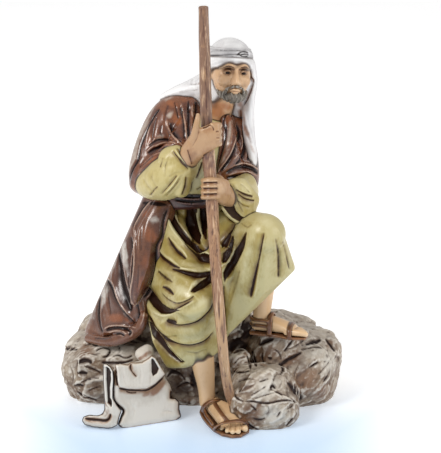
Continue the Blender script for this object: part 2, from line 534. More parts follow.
def sandals():
    out = [sole_plate()]
    band = lambda points, wide, thick: cord([(u, v, z, (wide, thick)) for u, v, z in points], side=(0.75, -1, 0.2), by_height=True, ring=12, steps=36)
    over = lambda points, wide, thick: cord([(u, v, z, (wide, thick)) for u, v, z in points], side=(0.5, 0.9, 0), by_height=True, ring=12, steps=36)
    out.append(band([(203.0, 411.5, 4.5), (204.4, 406, 10.5), (209.5, 401.8, 14.2), (215.5, 400.4, 15.0), (221.5, 400.8, 12.5), (225, 404, 7)], 1.6, 0.95))
    out.append(tube([at_z(u, v, z) for u, v, z in ((214.5, 403, 15.6), (218.5, 409.5, 14.8), (223, 415.5, 13.2), (227.5, 421, 10.8))], [(1.7, 0.8)] * 4, side=(1, 0.6, 0), ring=12, steps=30))
    out.append(tube([at_z(u, v, z) for u, v, z in ((222, 402.5, 12.5), (228, 408.5, 10.5), (234, 415.5, 7.5), (238, 420, 3.5))], [(2.6, 0.8), (2.8, 0.9), (2.6, 0.9), (2.0, 0.8)], side=(0.4, 0.2, 1), ring=12, steps=30))
    out.append(tube([at_z(u, v, z) for u, v, z in ((204.2, 410.5, 8.5), (206.5, 416, 7.6), (213, 425, 6.0))], [(1.2, 0.7)] * 3, side=(0.4, 0.2, 1), ring=12, steps=20))
    out.append(over([(214.6, 428.6, 2.8), (217.6, 425.6, 7.2), (222.5, 423.2, 9.6), (230, 421.6, 10.4), (238, 420.8, 10.2), (244.2, 421.8, 8.4), (247.6, 426.0, 3.0)], 1.9, 0.9))
    heel, toe, lift = FEET[1]
    at, s = foot_axes(heel, toe, lift)
    out.append(tube([at(0.03, 0, SOLE / 2), at(0.25, 0, SOLE / 2), at(0.5, 0.3, SOLE / 2), at(0.75, 0.8, SOLE / 2), at(0.97, 0.6, SOLE / 2)],
                    [(4.9, SOLE / 2), (6.3, SOLE / 2), (6.3, SOLE / 2), (8.4, SOLE / 2), (6.4, SOLE / 2)], side=s, ring=24, dome=0.9, power=3.5))
    ahead = tuple(np.array(at(1, 0, 0)) - np.array(at(0, 0, 0)))

    def strap(f0, f1, half, high, thick=0.8, wide=1.6, lean=0.0):
        pts = [at(f0 + (f1 - f0) * i / 8, lean + half * math.cos(math.pi * i / 8), SOLE + high * math.sin(math.pi * i / 8) ** 0.8) for i in range(9)]
        return tube(pts, [(wide, thick)] * 9, side=ahead, ring=12)

    out.append(strap(0.72, 0.70, 7.9, 6.4, lean=0.6))
    out.append(strap(0.37, 0.37, 6.7, 12.4, thick=1.0, wide=1.8))
    for z, r in ((4.6, 1.1), (8.4, 1.1)):
        pts = [at(0.20 - 0.19 * math.sin(x) + 0.17 * (1 - math.sin(x)) * 0.9, 6.3 * math.cos(x) * (0.92 if x else 1), SOLE + z) for x in [math.pi * i / 8 for i in range(9)]]
        out.append(tube(pts, [(r, 0.75)] * 9, side=(0, 0, 1), ring=12))
    return out


BAG_SIDE = (math.cos(math.radians(22)), math.sin(math.radians(22)), 0)


def bag_face(u):
    """How far away (y) the bag's front is at that pixel column."""
    return -55.0 + (np.asarray(u, float) - 147) * 0.262


BAG_LINE = [(112.5, 383), (112.6, 396), (114, 401), (117.8, 406.6), (122.6, 411), (120, 417), (117.6, 424.5), (122, 428.6), (130, 429.2), (145.6, 426.4), (160, 424), (176.7, 421),
            (181.6, 416.7), (179.6, 409.4), (179.6, 401.7), (175.6, 397.8), (171.2, 397.4), (172, 391.7), (170, 385), (165.4, 378), (160, 366), (150, 362), (120, 364), (113, 370)]
FLAP_LINE = [(115, 364.6), (120, 363.6), (127.6, 365), (131.3, 362.8), (136, 363), (142, 362.4), (148.6, 358.4), (152, 355.6), (155.6, 357.8), (160, 365), (165.8, 374.2), (164.4, 375.6), (155.6, 384),
             (146.7, 389), (136.7, 389.6), (126.7, 389.2), (118.9, 387.4), (116.4, 378)]
STRAP_LINE = [(103, 363.6), (106.8, 363.6), (110.6, 366.6), (113.4, 371.4), (114, 380), (113, 390), (113, 398), (117, 404.8), (121.8, 410.6), (119.6, 416.5), (117.4, 425.6), (112, 428), (107.8, 428.6),
              (93.3, 427.2), (84.6, 425), (81.8, 420.6), (83.4, 416.6), (88.9, 414.8), (97.8, 415.4), (102.4, 413.6), (104.4, 409), (104.2, 402), (103, 380)]
STRAP_HOLLOW = [(104.4, 367.4), (107.4, 367.2), (110.2, 370), (112, 375), (112, 384), (111.4, 396), (111.8, 404), (111, 407.4), (107, 403), (105.4, 390), (104.6, 378)]
FLAP_HOLLOW = [(151.8, 359), (153.6, 358.8), (157.4, 364), (159.4, 368.6), (157.6, 373.6), (153.4, 376.4), (151.8, 372)]


def bag():
    sack = sheet(BAG_LINE, lambda u, v, d: bag_face(u) + 5.2 - 5.4 * rounded(d, 6.5) - 1.2 * np.clip((v - 400) / 30, 0, 1), lambda u, v, d: bag_face(u) + 5.6 + 22 * rounded(d, 14))
    flap = sheet(FLAP_LINE, lambda u, v, d: bag_face(u) + 0.6 - 2.4 * rounded(d, 2.4) - 1.8 * np.clip((v - 362) / 26, 0, 1), lambda u, v, d: bag_face(u) + 3.2 + 0 * d)
    collar = lump((118, 368, -55, 2.4), (150, 363, -46, 2.6), (160, 371, -43, 3), (150, 372, -38, 5), (120, 374, -45, 5))
    roll = lump((141.4, 354.0, -32, 4.4), (147.4, 350.6, -31, 4.4), (147, 359, -38, 4.5))
    return [sack, flap, collar, roll]


def strap():
    lie = lambda u: bag_face(np.maximum(u, 112)) + np.clip((112 - u) / 28, 0, 1) * 4.5 + 2.0
    return [sheet(STRAP_LINE, lambda u, v, d: lie(u) - 3.0 * rounded(d, 3.2), lambda u, v, d: lie(u) + 0.6 + 4.0 * rounded(d, 3.0), step=0.6)]


# ---------------------------------------------------------------- surfaces
class Skin:
    """A closed surface of quads in the drawing's millimetres, with the paint's marks on its points."""

    def __init__(self, v, quads):
        self.v, self.quads = v, quads
        e = np.vstack([quads[:, [0, 1]], quads[:, [1, 2]], quads[:, [2, 3]], quads[:, [3, 0]]])
        e = np.unique(np.sort(e, axis=1), axis=0)
        self.a, self.b = np.concatenate([e[:, 0], e[:, 1]]), np.concatenate([e[:, 1], e[:, 0]])
        self.degree = np.bincount(self.a, minlength=len(v)).astype(float)
        self.marks = {}

    def mean(self, x):
        """The average of x over each point's neighbours."""
        n = len(self.v)
        if x.ndim == 1:
            return np.bincount(self.a, x[self.b], n) / self.degree
        return np.stack([np.bincount(self.a, x[self.b, i], n) / self.degree for i in range(3)], 1)

    def spread(self, x, times):
        for _ in range(times):
            x = 0.5 * x + 0.5 * self.mean(x)
        return x

    def relax(self, times):
        self.v = self.spread(self.v, times)

    def normals(self):
        p, q = self.v, self.quads
        n = np.cross(p[q[:, 2]] - p[q[:, 0]], p[q[:, 3]] - p[q[:, 1]])
        out = np.zeros_like(p)
        for i in range(3):
            for k in range(4):
                out[:, i] += np.bincount(q[:, k], n[:, i], len(p))
        return out / np.maximum(np.linalg.norm(out, axis=1), 1e-12)[:, None]

    def hollow(self, times):
        """How far each point lies under its surroundings, in millimetres; ridges are negative."""
        return ((self.spread(self.v, times) - self.v) * self.normals()).sum(1)

    def mark(self, name, x):
        self.marks[name] = np.maximum(self.marks.get(name, np.zeros(len(self.v))), x)


def surface(shells, voxel, relax=3):
    """The shells joined into one closed surface of an even grain."""
    points, faces, start = [], [], 0
    for v, f in shells:
        points.append(v)
        faces += [tuple(i + start for i in face) for face in f]
        start += len(v)
    mesh = bpy.data.meshes.new("work")
    mesh.from_pydata((np.vstack(points) * 0.001).tolist(), [], faces)
    obj = bpy.data.objects.new("work", mesh)
    bpy.context.scene.collection.objects.link(obj)
    grid = obj.modifiers.new("grid", "REMESH")
    grid.mode = "VOXEL"
    grid.voxel_size = voxel * 0.001
    bpy.context.view_layer.update()
    made = obj.evaluated_get(bpy.context.evaluated_depsgraph_get()).to_mesh()
    v = np.empty(len(made.vertices) * 3)
    made.vertices.foreach_get("co", v)
    q = np.empty(len(made.loops), np.int64)
    made.loops.foreach_get("vertex_index", q)
    bpy.data.objects.remove(obj)
    bpy.data.meshes.remove(mesh)
    skin = Skin(v.reshape(-1, 3) * 1000, q.reshape(-1, 4))
    skin.relax(relax)
    return skin


def facing(skin, gain=2.5):
    """Which points face the view, 0 to 1."""
    toward = EYE - skin.v
    toward /= np.linalg.norm(toward, axis=1)[:, None]
    return np.clip((skin.normals() * toward).sum(1) * gain - 0.05, 0, 1)


def press(skin, strokes, wear=0.10, seed=1):
    """Presses strokes into the side that faces the view. A stroke is (points, depth, dark, side): the points are (u, v, half
    width) in pixels, the depth a share of the width, dark the amount of wash, and side where its shade spreads: 1 to the right
    of the stroke's course, -1 to the left, 0 both. A negative depth raises a ridge."""
    n = skin.normals()
    uv = seen(skin.v)
    face = facing(skin)
    wander = 1 + wear * grain(skin.v, 5.0, seed)
    patchy = np.clip(1.0 + 0.4 * grain(skin.v, 4.0, seed + 5), 0.7, 1.2)
    move = np.zeros(len(skin.v))
    count = len(skin.v)
    core, shade, glaze = (np.zeros(count) for _ in range(3))
    for points, depth, dark, side in strokes:
        path = smooth_path(points, max(14, 8 * len(points)))
        half = np.maximum(path[:, 2], 0.7)
        path = path[:, :2]
        reach = 12 + 4.0 * half.max()
        near = np.where((uv > path.min(0) - reach).all(1) & (uv < path.max(0) + reach).all(1) & (face > 0))[0]
        if not len(near):
            continue
        q = uv[near]
        best, where, sign = np.full(len(near), 1e9), np.zeros(len(near)), np.ones(len(near))
        for i in range(len(path) - 1):
            e = path[i + 1] - path[i]
            r = q - path[i]
            f = np.clip((r @ e) / max(e @ e, 1e-9), 0, 1)
            d = np.linalg.norm(r - f[:, None] * e, axis=1)
            closer = d < best
            best[closer], where[closer] = d[closer], (i + f[closer])
            sign[closer] = np.sign(e[0] * r[closer, 1] - e[1] * r[closer, 0] + 1e-12)
        i = np.minimum(where.astype(int), len(path) - 2)
        w = half[i] + (half[i + 1] - half[i]) * (where - i)
        along = where / (len(path) - 1)
        ends = np.clip(np.minimum(along, 1 - along) * 12, 0.0, 1) ** 0.7
        d = best * wander[near]
        if side == 0 or depth < 0:
            shape = -np.exp(-((d / (1.15 * w)) ** 2.0))
            lip = 0.22 * np.exp(-(((d - 2.2 * w) / (0.9 * w + 0.5)) ** 2))
        else:
            gentle = sign * side > 0
            shape = np.where(gentle, -np.exp(-((d / (2.4 * w)) ** 1.3)), -np.exp(-((d / w) ** 2.2)))
            lip = np.where(gentle, 0.0, 0.5) * np.exp(-(((d - 2.1 * w) / (0.9 * w + 0.5)) ** 2))
        ripple = 0.14 * np.sin(d / (1.2 * w + 0.9)) * np.exp(-d / (5 * w + 2))
        move[near] += depth * w * 0.65 * np.maximum(ends, 0.15) * face[near] * (shape + lip + (ripple if depth > 0 else 0))
        if dark > 0:
            out = np.maximum(d - 0.6 * w, 0)
            spread = np.ones(len(near)) if side == 0 else np.where(sign * side > 0, 1.9, 0.5)
            ink = dark * face[near] * patchy[near]
            core[near] = np.maximum(core[near], ink * ends * np.exp(-((d / (0.92 * w)) ** 3.0)))
            shade[near] = np.maximum(shade[near], ink * np.maximum(ends, 0.2) * np.exp(-((out / (spread * (1.0 + 0.7 * w))) ** 1.4)))
            glaze[near] = np.maximum(glaze[near], dark * face[near] * np.maximum(ends, 0.3) * np.exp(-((out / (spread * (4.0 + 1.8 * w))) ** 1.5)))
    skin.mark("wash", core)
    skin.mark("haze", shade)
    skin.mark("glaze", glaze)
    skin.v = skin.v + n * np.clip(move, -4.5, 2.5)[:, None]


def daub(skin, name, touches):
    """Soft oval touches of paint: (u, v, half length, half breadth, degrees clockwise, amount)."""
    uv, face = seen(skin.v), facing(skin)
    total = np.zeros(len(uv))
    for u, v, a, b, turn, amount in touches:
        c, k = math.cos(math.radians(turn)), math.sin(math.radians(turn))
        x, y = uv[:, 0] - u, uv[:, 1] - v
        r = ((x * c + y * k) / a) ** 2 + ((-x * k + y * c) / b) ** 2
        total = np.maximum(total, amount * face * np.exp(-(r**1.3)))
    skin.mark(name, total)


def fill(skin, name, outline, amount=1.0, depth=0.0, soft=1.0):
    """Paints the inside of an outline in the view, and presses it in by depth millimetres."""
    uv = seen(skin.v)
    near = np.where((uv > np.min(outline, 0) - 3).all(1) & (uv < np.max(outline, 0) + 3).all(1))[0]
    mask = np.zeros(len(uv))
    mask[near] = np.clip(inside(uv[near], outline) / soft + 0.5, 0, 1)
    mask *= facing(skin, 4)
    if name:
        skin.mark(name, mask * amount)
    if depth:
        skin.v = skin.v - skin.normals() * (mask * depth)[:, None]


def falls(skin, amount):
    """Long shallow folds down the back, spreading from the shoulders."""
    n, v = skin.normals(), skin.v
    behind = np.clip(n[:, 1] * 1.6 - 0.1, 0, 1) * np.clip((v[:, 2] - 42) / 12, 0, 1) * np.clip((208 - v[:, 2]) / 12, 0, 1)
    fan = (v[:, 0] + 14 + 2.0 * grain(v, 30, 9, 2)) / (0.42 + (206 - np.minimum(v[:, 2], 205)) / 190)
    wave = np.cos(fan / 5.6 + 0.9 * np.sin(v[:, 2] / 31))
    wave = np.sign(wave) * np.abs(wave) ** np.where(wave > 0, 0.7, 1.6)
    skin.v = v + n * (behind * amount * wave)[:, None]
    skin.mark("haze", behind * np.clip(-1.5 * wave - 0.5, 0, 1))
    skin.mark("wash", behind * np.clip(-2.2 * wave - 1.6, 0, 0.45))
    skin.mark("glaze", behind * np.clip(0.5 - wave, 0, 1))


def rim(skin, name, outline, width, amount, low=0.0):
    """Paint along the inner side of an outline in the view, below the row low."""
    uv = seen(skin.v)
    near = np.where((uv > np.min(outline, 0) - 3).all(1) & (uv < np.max(outline, 0) + 3).all(1) & (uv[:, 1] > low))[0]
    mask = np.zeros(len(uv))
    mask[near] = np.clip(1.5 - np.abs(inside(uv[near], outline)) / width, 0, 1)
    skin.mark(name, amount * mask * (skin.normals()[:, 1] < 0.3))


PIECES = {}


def solid(name, skin, body="root", node="figure"):
    """The surface as an object of the scene, with its marks."""
    mesh = bpy.data.meshes.new(name)
    n, m = len(skin.v), len(skin.quads)
    mesh.vertices.add(n)
    mesh.vertices.foreach_set("co", ((skin.v - MIDDLE) * 0.001).ravel())
    mesh.loops.add(4 * m)
    mesh.loops.foreach_set("vertex_index", skin.quads.ravel())
    mesh.polygons.add(m)
    mesh.polygons.foreach_set("loop_start", np.arange(m) * 4)
    mesh.update(calc_edges=True)
    mesh.shade_smooth()
    for key, x in skin.marks.items():
        mesh.attributes.new(key, "FLOAT", "POINT").data.foreach_set("value", np.clip(x, -4, 4).astype(np.float32))
    obj = bpy.data.objects.new(name, mesh)
    bpy.context.scene.collection.objects.link(obj)
    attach(obj, body)
    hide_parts(node)
    thin_out(obj, skin)
    PIECES[name] = obj
    return obj


def thin_out(obj, skin, kept=0.35):
    """Fewer faces where the view doesn't reach: the back, the undersides and what lies inside another piece."""
    spare = np.where(~skin.shown)[0]
    if len(spare) < 4000:
        return
    obj.vertex_groups.new(name="spare").add(spare.tolist(), 1.0, "REPLACE")
    thin = obj.modifiers.new("thin", "DECIMATE")
    thin.ratio = 1 - (1 - kept) * len(spare) / len(skin.v)
    thin.vertex_group = "spare"
    thin.vertex_group_factor = 1.0
    bpy.context.view_layer.update()
    graph = bpy.context.evaluated_depsgraph_get()
    mesh = bpy.data.meshes.new_from_object(obj.evaluated_get(graph), preserve_all_data_layers=True, depsgraph=graph)
    old = obj.data
    obj.modifiers.remove(thin)
    obj.vertex_groups.clear()
    obj.data = mesh
    bpy.data.meshes.remove(old)


def find_shown(skins, cell=2.0, slack=4.0):
    """Marks the points of each skin that the view reaches, with a margin round them."""
    nearest = np.full((260, 260), 1e9)
    places = {}
    for key, skin in skins.items():
        at = np.clip((seen(skin.v) / cell).astype(int), 0, 259)
        away = (skin.v - EYE) @ AHEAD
        places[key] = at, away
        np.minimum.at(nearest, (at[:, 1], at[:, 0]), away)
    for key, skin in skins.items():
        at, away = places[key]
        toward = EYE - skin.v
        toward /= np.linalg.norm(toward, axis=1)[:, None]
        turned = (skin.normals() * toward).sum(1)
        open_ = (away < nearest[at[:, 1], at[:, 0]] + slack + 3.0 * (1 - np.abs(turned))) & (turned > -0.12)
        skin.shown = skin.spread(open_.astype(float), 3) > 0.15


def read_relief(skin, fine=3, broad=14, fine_mm=0.12, broad_mm=0.7):
    """Marks for the wash that settles in hollows and the dry brush that catches edges."""
    f, b = skin.hollow(fine) / fine_mm, skin.hollow(broad) / broad_mm
    skin.marks["hollow"] = np.clip(0.5 * f + 0.6 * b, -2, 2)
    skin.marks["edge"] = np.clip(-0.6 * f - 0.5 * b, 0, 2)


def seams(skins, reach=1.3):
    """Paint settles where one garment meets the next: darkens each surface where it comes out of another."""
    trees = {k: BVHTree.FromPolygons(s.v.tolist(), s.quads.tolist()) for k, s in skins.items()}
    for k, s in skins.items():
        low, high = s.v.min(0) - reach, s.v.max(0) + reach
        dirt = np.zeros(len(s.v))
        for other, tree in trees.items():
            if other == k:
                continue
            o = skins[other]
            a, b = o.v.min(0) - reach, o.v.max(0) + reach
            if (a > high).any() or (b < low).any():
                continue
            near = np.where((s.v > a).all(1) & (s.v < b).all(1))[0]
            wide = 0.8 if {k, other} == {"tunic", "feet"} else 2.2 if {k, other} == {"head", "head_cloth"} else reach
            for i in near:
                hit = tree.find_nearest(s.v[i], wide)
                if hit[0] is not None:
                    dirt[i] = max(dirt[i], 1 - hit[3] / wide)
        s.marks["seam"] = s.spread(dirt, 1)


# ---------------------------------------------------------------- strokes, in pixels of the view
TUNIC = [
    # hanging from the sash, one inside the other
    ([(167, 209, 0.9), (173, 219, 2.0), (177.5, 227.5, 2.5), (186, 239, 2.7), (194, 246.5, 3.0), (201, 250.5, 3.1), (206, 247.5, 2.5), (209, 240, 2.2), (210.5, 229, 1.2)], 1.7, 1.0, -1),
    ([(188.5, 200, 1.7), (188, 212, 2.1), (189.6, 222, 2.4), (193, 231, 2.2), (196.5, 238, 1.6), (199.5, 243.5, 0.7)], 1.6, 1.0, 0),
    ([(204.5, 200, 2.3), (203.4, 213, 2.6), (203.6, 225, 2.3), (204.4, 234, 1.4), (204.8, 239, 0.6)], 1.6, 1.0, 0),
    ([(194, 200, 2.2), (195.4, 207, 1.5), (197, 213, 0.5)], 1.3, 1.0, 0), ([(180.8, 201, 1.3), (179.6, 206, 0.9), (178.8, 210, 0.4)], 1.1, 0.9, 0),
    ([(173.5, 202, 1.0), (177, 212, 0.8), (180, 222, 0.5)], 1.0, 0.5, -1), ([(186, 215, 0.5), (188, 226, 0.9), (193.5, 238, 0.7), (199, 246, 0.4)], 0.9, 0.45, 0),
    ([(184, 243, 0.6), (190, 249.5, 1.6), (197, 255.5, 2.2), (203.5, 259, 2.4), (212, 260.5, 2.4)], 1.5, 1.0, 1),
    ([(181, 234, 0.4), (188, 243.5, 0.8), (196, 251, 0.8)], -0.8, 0.0, 0),
    # across the near thigh
    ([(167.6, 236, 0.5), (171, 243, 1.6), (176, 249.4, 1.9), (182, 254.6, 1.5), (187, 259.4, 0.5)], 1.2, 0.85, 1),
    ([(157, 250, 1.3), (162, 257.5, 1.9), (170, 263.5, 1.9), (176, 266.5, 1.2), (181, 268.5, 0.4)], 1.2, 0.85, 1),
    ([(156.5, 270, 1.2), (163, 276.5, 2.6), (168, 280, 2.2), (173, 282.5, 0.6)], 0.7, 0.5, 1),
    ([(170, 268.3, 0.6), (181, 270.6, 1.2), (190, 273, 1.9), (197, 275, 2.7), (205, 275, 2.7), (214, 272.5, 1.9)], 1.5, 1.0, 1),
    ([(190, 292.5, 0.5), (194.5, 288, 1.9), (201, 284.5, 2.9), (208, 281, 2.7), (215, 276, 2.2)], 1.4, 1.0, 1),
    ([(161.5, 286.5, 0.4), (165.5, 288.2, 1.5), (170, 291.5, 1.5), (174, 295, 0.4)], 1.2, 0.85, 0),
    ([(160, 292, 0.4), (167, 298.6, 0.7), (177, 303.3, 0.6), (188, 300, 0.5), (195, 295, 0.4)], 0.9, 0.75, 1),
    ([(146.5, 285, 0.9), (149.5, 293, 2.6), (153.5, 301, 3.0), (158, 307.6, 2.7), (164, 312, 1.8), (171, 311.2, 0.8), (182, 306, 0.5), (196, 298.5, 0.4)], 1.4, 0.95, -1),
    ([(214.5, 301, 0.6), (211, 309, 1.0), (205, 316, 1.1), (199, 321, 1.1), (190, 324, 0.7), (178, 325.2, 0.8), (169, 322.6, 1.6), (165.5, 319.5, 0.8)], 1.0, 0.85, -1),
    ([(166.5, 319.3, 1.0), (171.5, 321.3, 2.4), (177, 323, 1.0)], 1.0, 0.75, 0),
    ([(147.5, 312, 0.8), (151, 321, 2.2), (156, 329, 2.6), (163, 336, 2.5), (170, 340.5, 1.5), (178, 343.8, 0.8), (187, 345.3, 0.6), (196, 344.3, 0.6), (206, 340, 0.6), (216, 329, 0.5)], 1.4, 0.95, 1),
    ([(145, 319, 1.2), (149.5, 328.5, 2.6), (155, 336, 2.8), (161, 342.6, 2.7), (168, 350, 2.4), (175, 357, 1.9), (184, 364.5, 0.6)], 1.7, 1.0, 1),
    ([(144.5, 292, 1.1), (145.5, 305, 1.3), (146, 318, 1.3), (147, 330, 1.0), (152, 344, 0.8), (159, 360, 0.7), (164.5, 371, 0.5)], 1.0, 1.0, 0),
    ([(160, 333, 0.4), (168, 336, 0.7), (178, 336, 0.4)], 0.8, 0.35, 1), ([(186, 352, 0.4), (196, 353, 0.8), (208, 349, 0.4)], 0.8, 0.3, 1),
    # swags standing proud between them
    ([(180, 259, 1.5), (192, 264.5, 2.6), (210, 266, 2.4)], -0.35, 0.0, 0), ([(160, 265, 1.2), (170, 272, 2.2), (186, 280, 3.2), (194, 279, 2.0)], -0.35, 0.0, 0),
    ([(170, 304, 1.2), (186, 314, 3.0), (202, 310, 3.0), (211, 297, 2.0)], -0.35, 0.0, 0), ([(166, 329, 1.2), (182, 334, 3.0), (200, 331, 3.0), (212, 318, 2.0)], -0.3, 0.0, 0),
    ([(170, 224, 0.8), (178, 238, 1.6), (188, 250, 1.8), (200, 262, 1.0)], -0.35, 0.0, 0),
    # from the raised knee
    ([(235.5, 223.5, 0.6), (231, 230.5, 2.0), (226, 237.5, 3.0), (221.5, 245, 3.4)], 1.5, 1.0, 1), ([(234.5, 235, 0.7), (231, 243.5, 2.9), (227, 252, 3.8), (222.5, 263, 3.4)], 1.6, 1.0, 1),
    ([(246.5, 231, 0.6), (243, 244, 1.8), (238, 256, 2.4), (231.5, 268, 2.5), (225.5, 280, 1.4)], 1.6, 1.0, 1),
    ([(264.5, 231, 0.4), (262, 244, 0.8), (259, 260, 1.0), (255.6, 275, 1.4), (252.5, 289, 1.9), (250.5, 299, 1.2)], 1.1, 0.75, 1),
    ([(275, 236, 0.5), (278.5, 252, 1.5), (279, 266, 1.6), (278.5, 279, 1.1)], 0.9, 0.5, 0), ([(282, 240, 0.5), (286, 255, 0.7), (289.5, 270.5, 0.6)], 0.9, 0.5, 0),
    ([(277, 226, 0.8), (281.5, 238, 1.4), (286.5, 253, 1.2), (291, 268, 0.8)], -0.6, 0.0, 0), ([(268, 245, 1.2), (265.5, 262, 2.0), (262, 281, 1.6)], -0.4, 0.0, 0),
    ([(252, 236, 1.2), (247, 258, 2.4), (238, 285, 3.0), (230, 312, 2.4)], -0.3, 0.0, 0), ([(241, 268, 0.5), (235, 287, 1.0), (229, 306, 0.5)], 0.7, 0.3, 1),
    ([(224, 283, 1.0), (224, 300, 1.4), (225, 318, 1.2), (227, 334, 0.7)], 0.8, 0.45, 0), ([(240, 222, 0.5), (247, 227, 0.8), (252, 224, 0.4)], 0.7, 0.4, 0),
    ([(221, 209, 0.6), (225, 214, 1.2), (231, 220, 1.4), (236, 223, 0.8)], 0.8, 0.7, 0),
    # chest
    ([(202.5, 161, 0.8), (199.5, 170, 1.2), (196, 179, 0.6)], 0.9, 0.6, 0), ([(204, 184, 0.6), (200, 188, 0.8), (196, 190, 0.4)], 0.8, 0.5, 0), ([(192, 166, 0.8), (190.5, 178, 1.4), (187, 188, 1.0)], 0.8, 0.7, 1),
    ([(220.5, 150, 0.4), (222.5, 136, 0.7), (226, 122, 0.5)], 0.8, 0.4, 0),
]
CLOAK = [
    ([(118, 243, 0.4), (119.3, 256, 1.0), (120.5, 268, 1.7), (122, 282, 2.8), (125.5, 296, 3.7), (129, 305, 3.0), (131, 313, 0.8)], 0.9, 0.95, 0),
    ([(131, 235, 0.5), (132.3, 250, 1.2), (132, 265, 1.2), (130.8, 278, 1.2), (129.6, 291, 0.5)], 1.4, 1.0, 1),
    ([(151.5, 200.5, 0.7), (145, 209, 0.7), (139, 219, 0.7), (135, 227, 0.7), (135, 240, 0.7), (134, 265, 0.7), (132, 284, 0.7), (131, 298, 0.7), (134, 306.5, 0.6)], -1.9, 0.0, 0),
    ([(149, 200.5, 1.0), (142.5, 208.5, 0.9), (136.5, 219, 0.8), (133.5, 228, 0.7)], 1.2, 0.85, 1),
    ([(134, 307, 0.5), (142.5, 297, 0.7), (150, 286, 0.7), (154, 272, 0.7), (155.5, 259, 0.5)], -1.4, 0.0, 0),
    ([(168, 207, 1.2), (163.5, 222, 1.0), (162, 236, 0.9), (157, 246, 1.1), (156.5, 262, 1.6), (154.5, 276, 1.4), (149.5, 290, 1.3), (143, 299, 1.0)], 1.1, 1.0, 1),
    ([(104.5, 277, 0.8), (108.5, 282.5, 1.7), (112, 289, 1.8), (116, 298, 1.4), (122, 308, 0.9), (128, 316, 0.8), (136, 324, 0.5)], 1.1, 0.9, 1),
    ([(115.5, 286, 0.6), (118.5, 299, 0.8), (123, 308, 0.8), (128.5, 315.5, 0.6)], -1.6, 0.0, 0),
    ([(101, 292, 0.5), (99, 303, 0.9), (98.6, 315, 0.9), (100, 325, 0.7), (103, 333, 0.5)], 1.1, 0.85, 0), ([(102.5, 296, 0.5), (101.2, 310, 0.7), (102.5, 324, 0.6)], -1.0, 0.0, 0),
    ([(142, 298, 0.5), (144.3, 308, 0.7), (143.3, 318, 0.7), (140, 326, 0.5)], -1.0, 0.0, 0), ([(137.5, 303, 0.7), (139, 312, 1.0), (138, 320, 0.6)], 0.9, 0.7, 0),
    ([(105.5, 331, 0.9), (110, 328.8, 1.1), (118, 327.8, 1.0), (126, 329, 1.0), (130.5, 332, 0.9), (128.5, 336, 0.7)], 1.4, 1.0, 0),
    ([(104.5, 329, 0.6), (110, 326.2, 0.7), (119, 325.4, 0.7), (128, 326.3, 0.7), (137, 328, 0.5)], -1.6, 0.0, 0), ([(109, 332.8, 0.5), (116, 330.9, 0.7), (123, 331.8, 0.7), (126.8, 334.5, 0.5)], -1.3, 0.0, 0),
    ([(116, 334, 0.5), (121, 333.6, 0.8), (124.5, 336, 0.5)], 1.2, 0.95, 0), ([(94, 338, 0.5), (103, 338, 0.9), (112, 335.6, 0.6)], 0.9, 0.6, 1),
    ([(132, 215, 0.8), (126, 232, 1.4), (122, 248, 0.8)], 0.7, 0.35, -1), ([(114, 262, 0.6), (112.5, 275, 0.9), (114, 286, 0.5)], -0.8, 0.0, 0),
    ([(125.5, 245, 1.4), (126, 268, 2.0), (127.5, 288, 1.2)], -0.6, 0.0, 0), ([(107, 285, 0.8), (108.5, 300, 1.2), (111, 316, 0.8)], 0.6, 0.4, -1),
    ([(146, 213, 1.0), (142, 232, 1.6), (141, 254, 1.2)], 0.45, 0.3, 0), ([(152, 228, 1.2), (150, 246, 1.8), (148, 268, 1.4)], -0.35, 0.0, 0), ([(139, 262, 0.8), (138, 280, 1.2), (137, 296, 0.6)], 0.5, 0.35, 0),
    ([(140, 228, 0.7), (138.6, 240, 0.8), (138.8, 254, 0.6)], -0.7, 0.0, 0), ([(147, 268, 0.8), (143, 280, 0.9), (137, 293, 0.6)], -0.6, 0.0, 0),
]
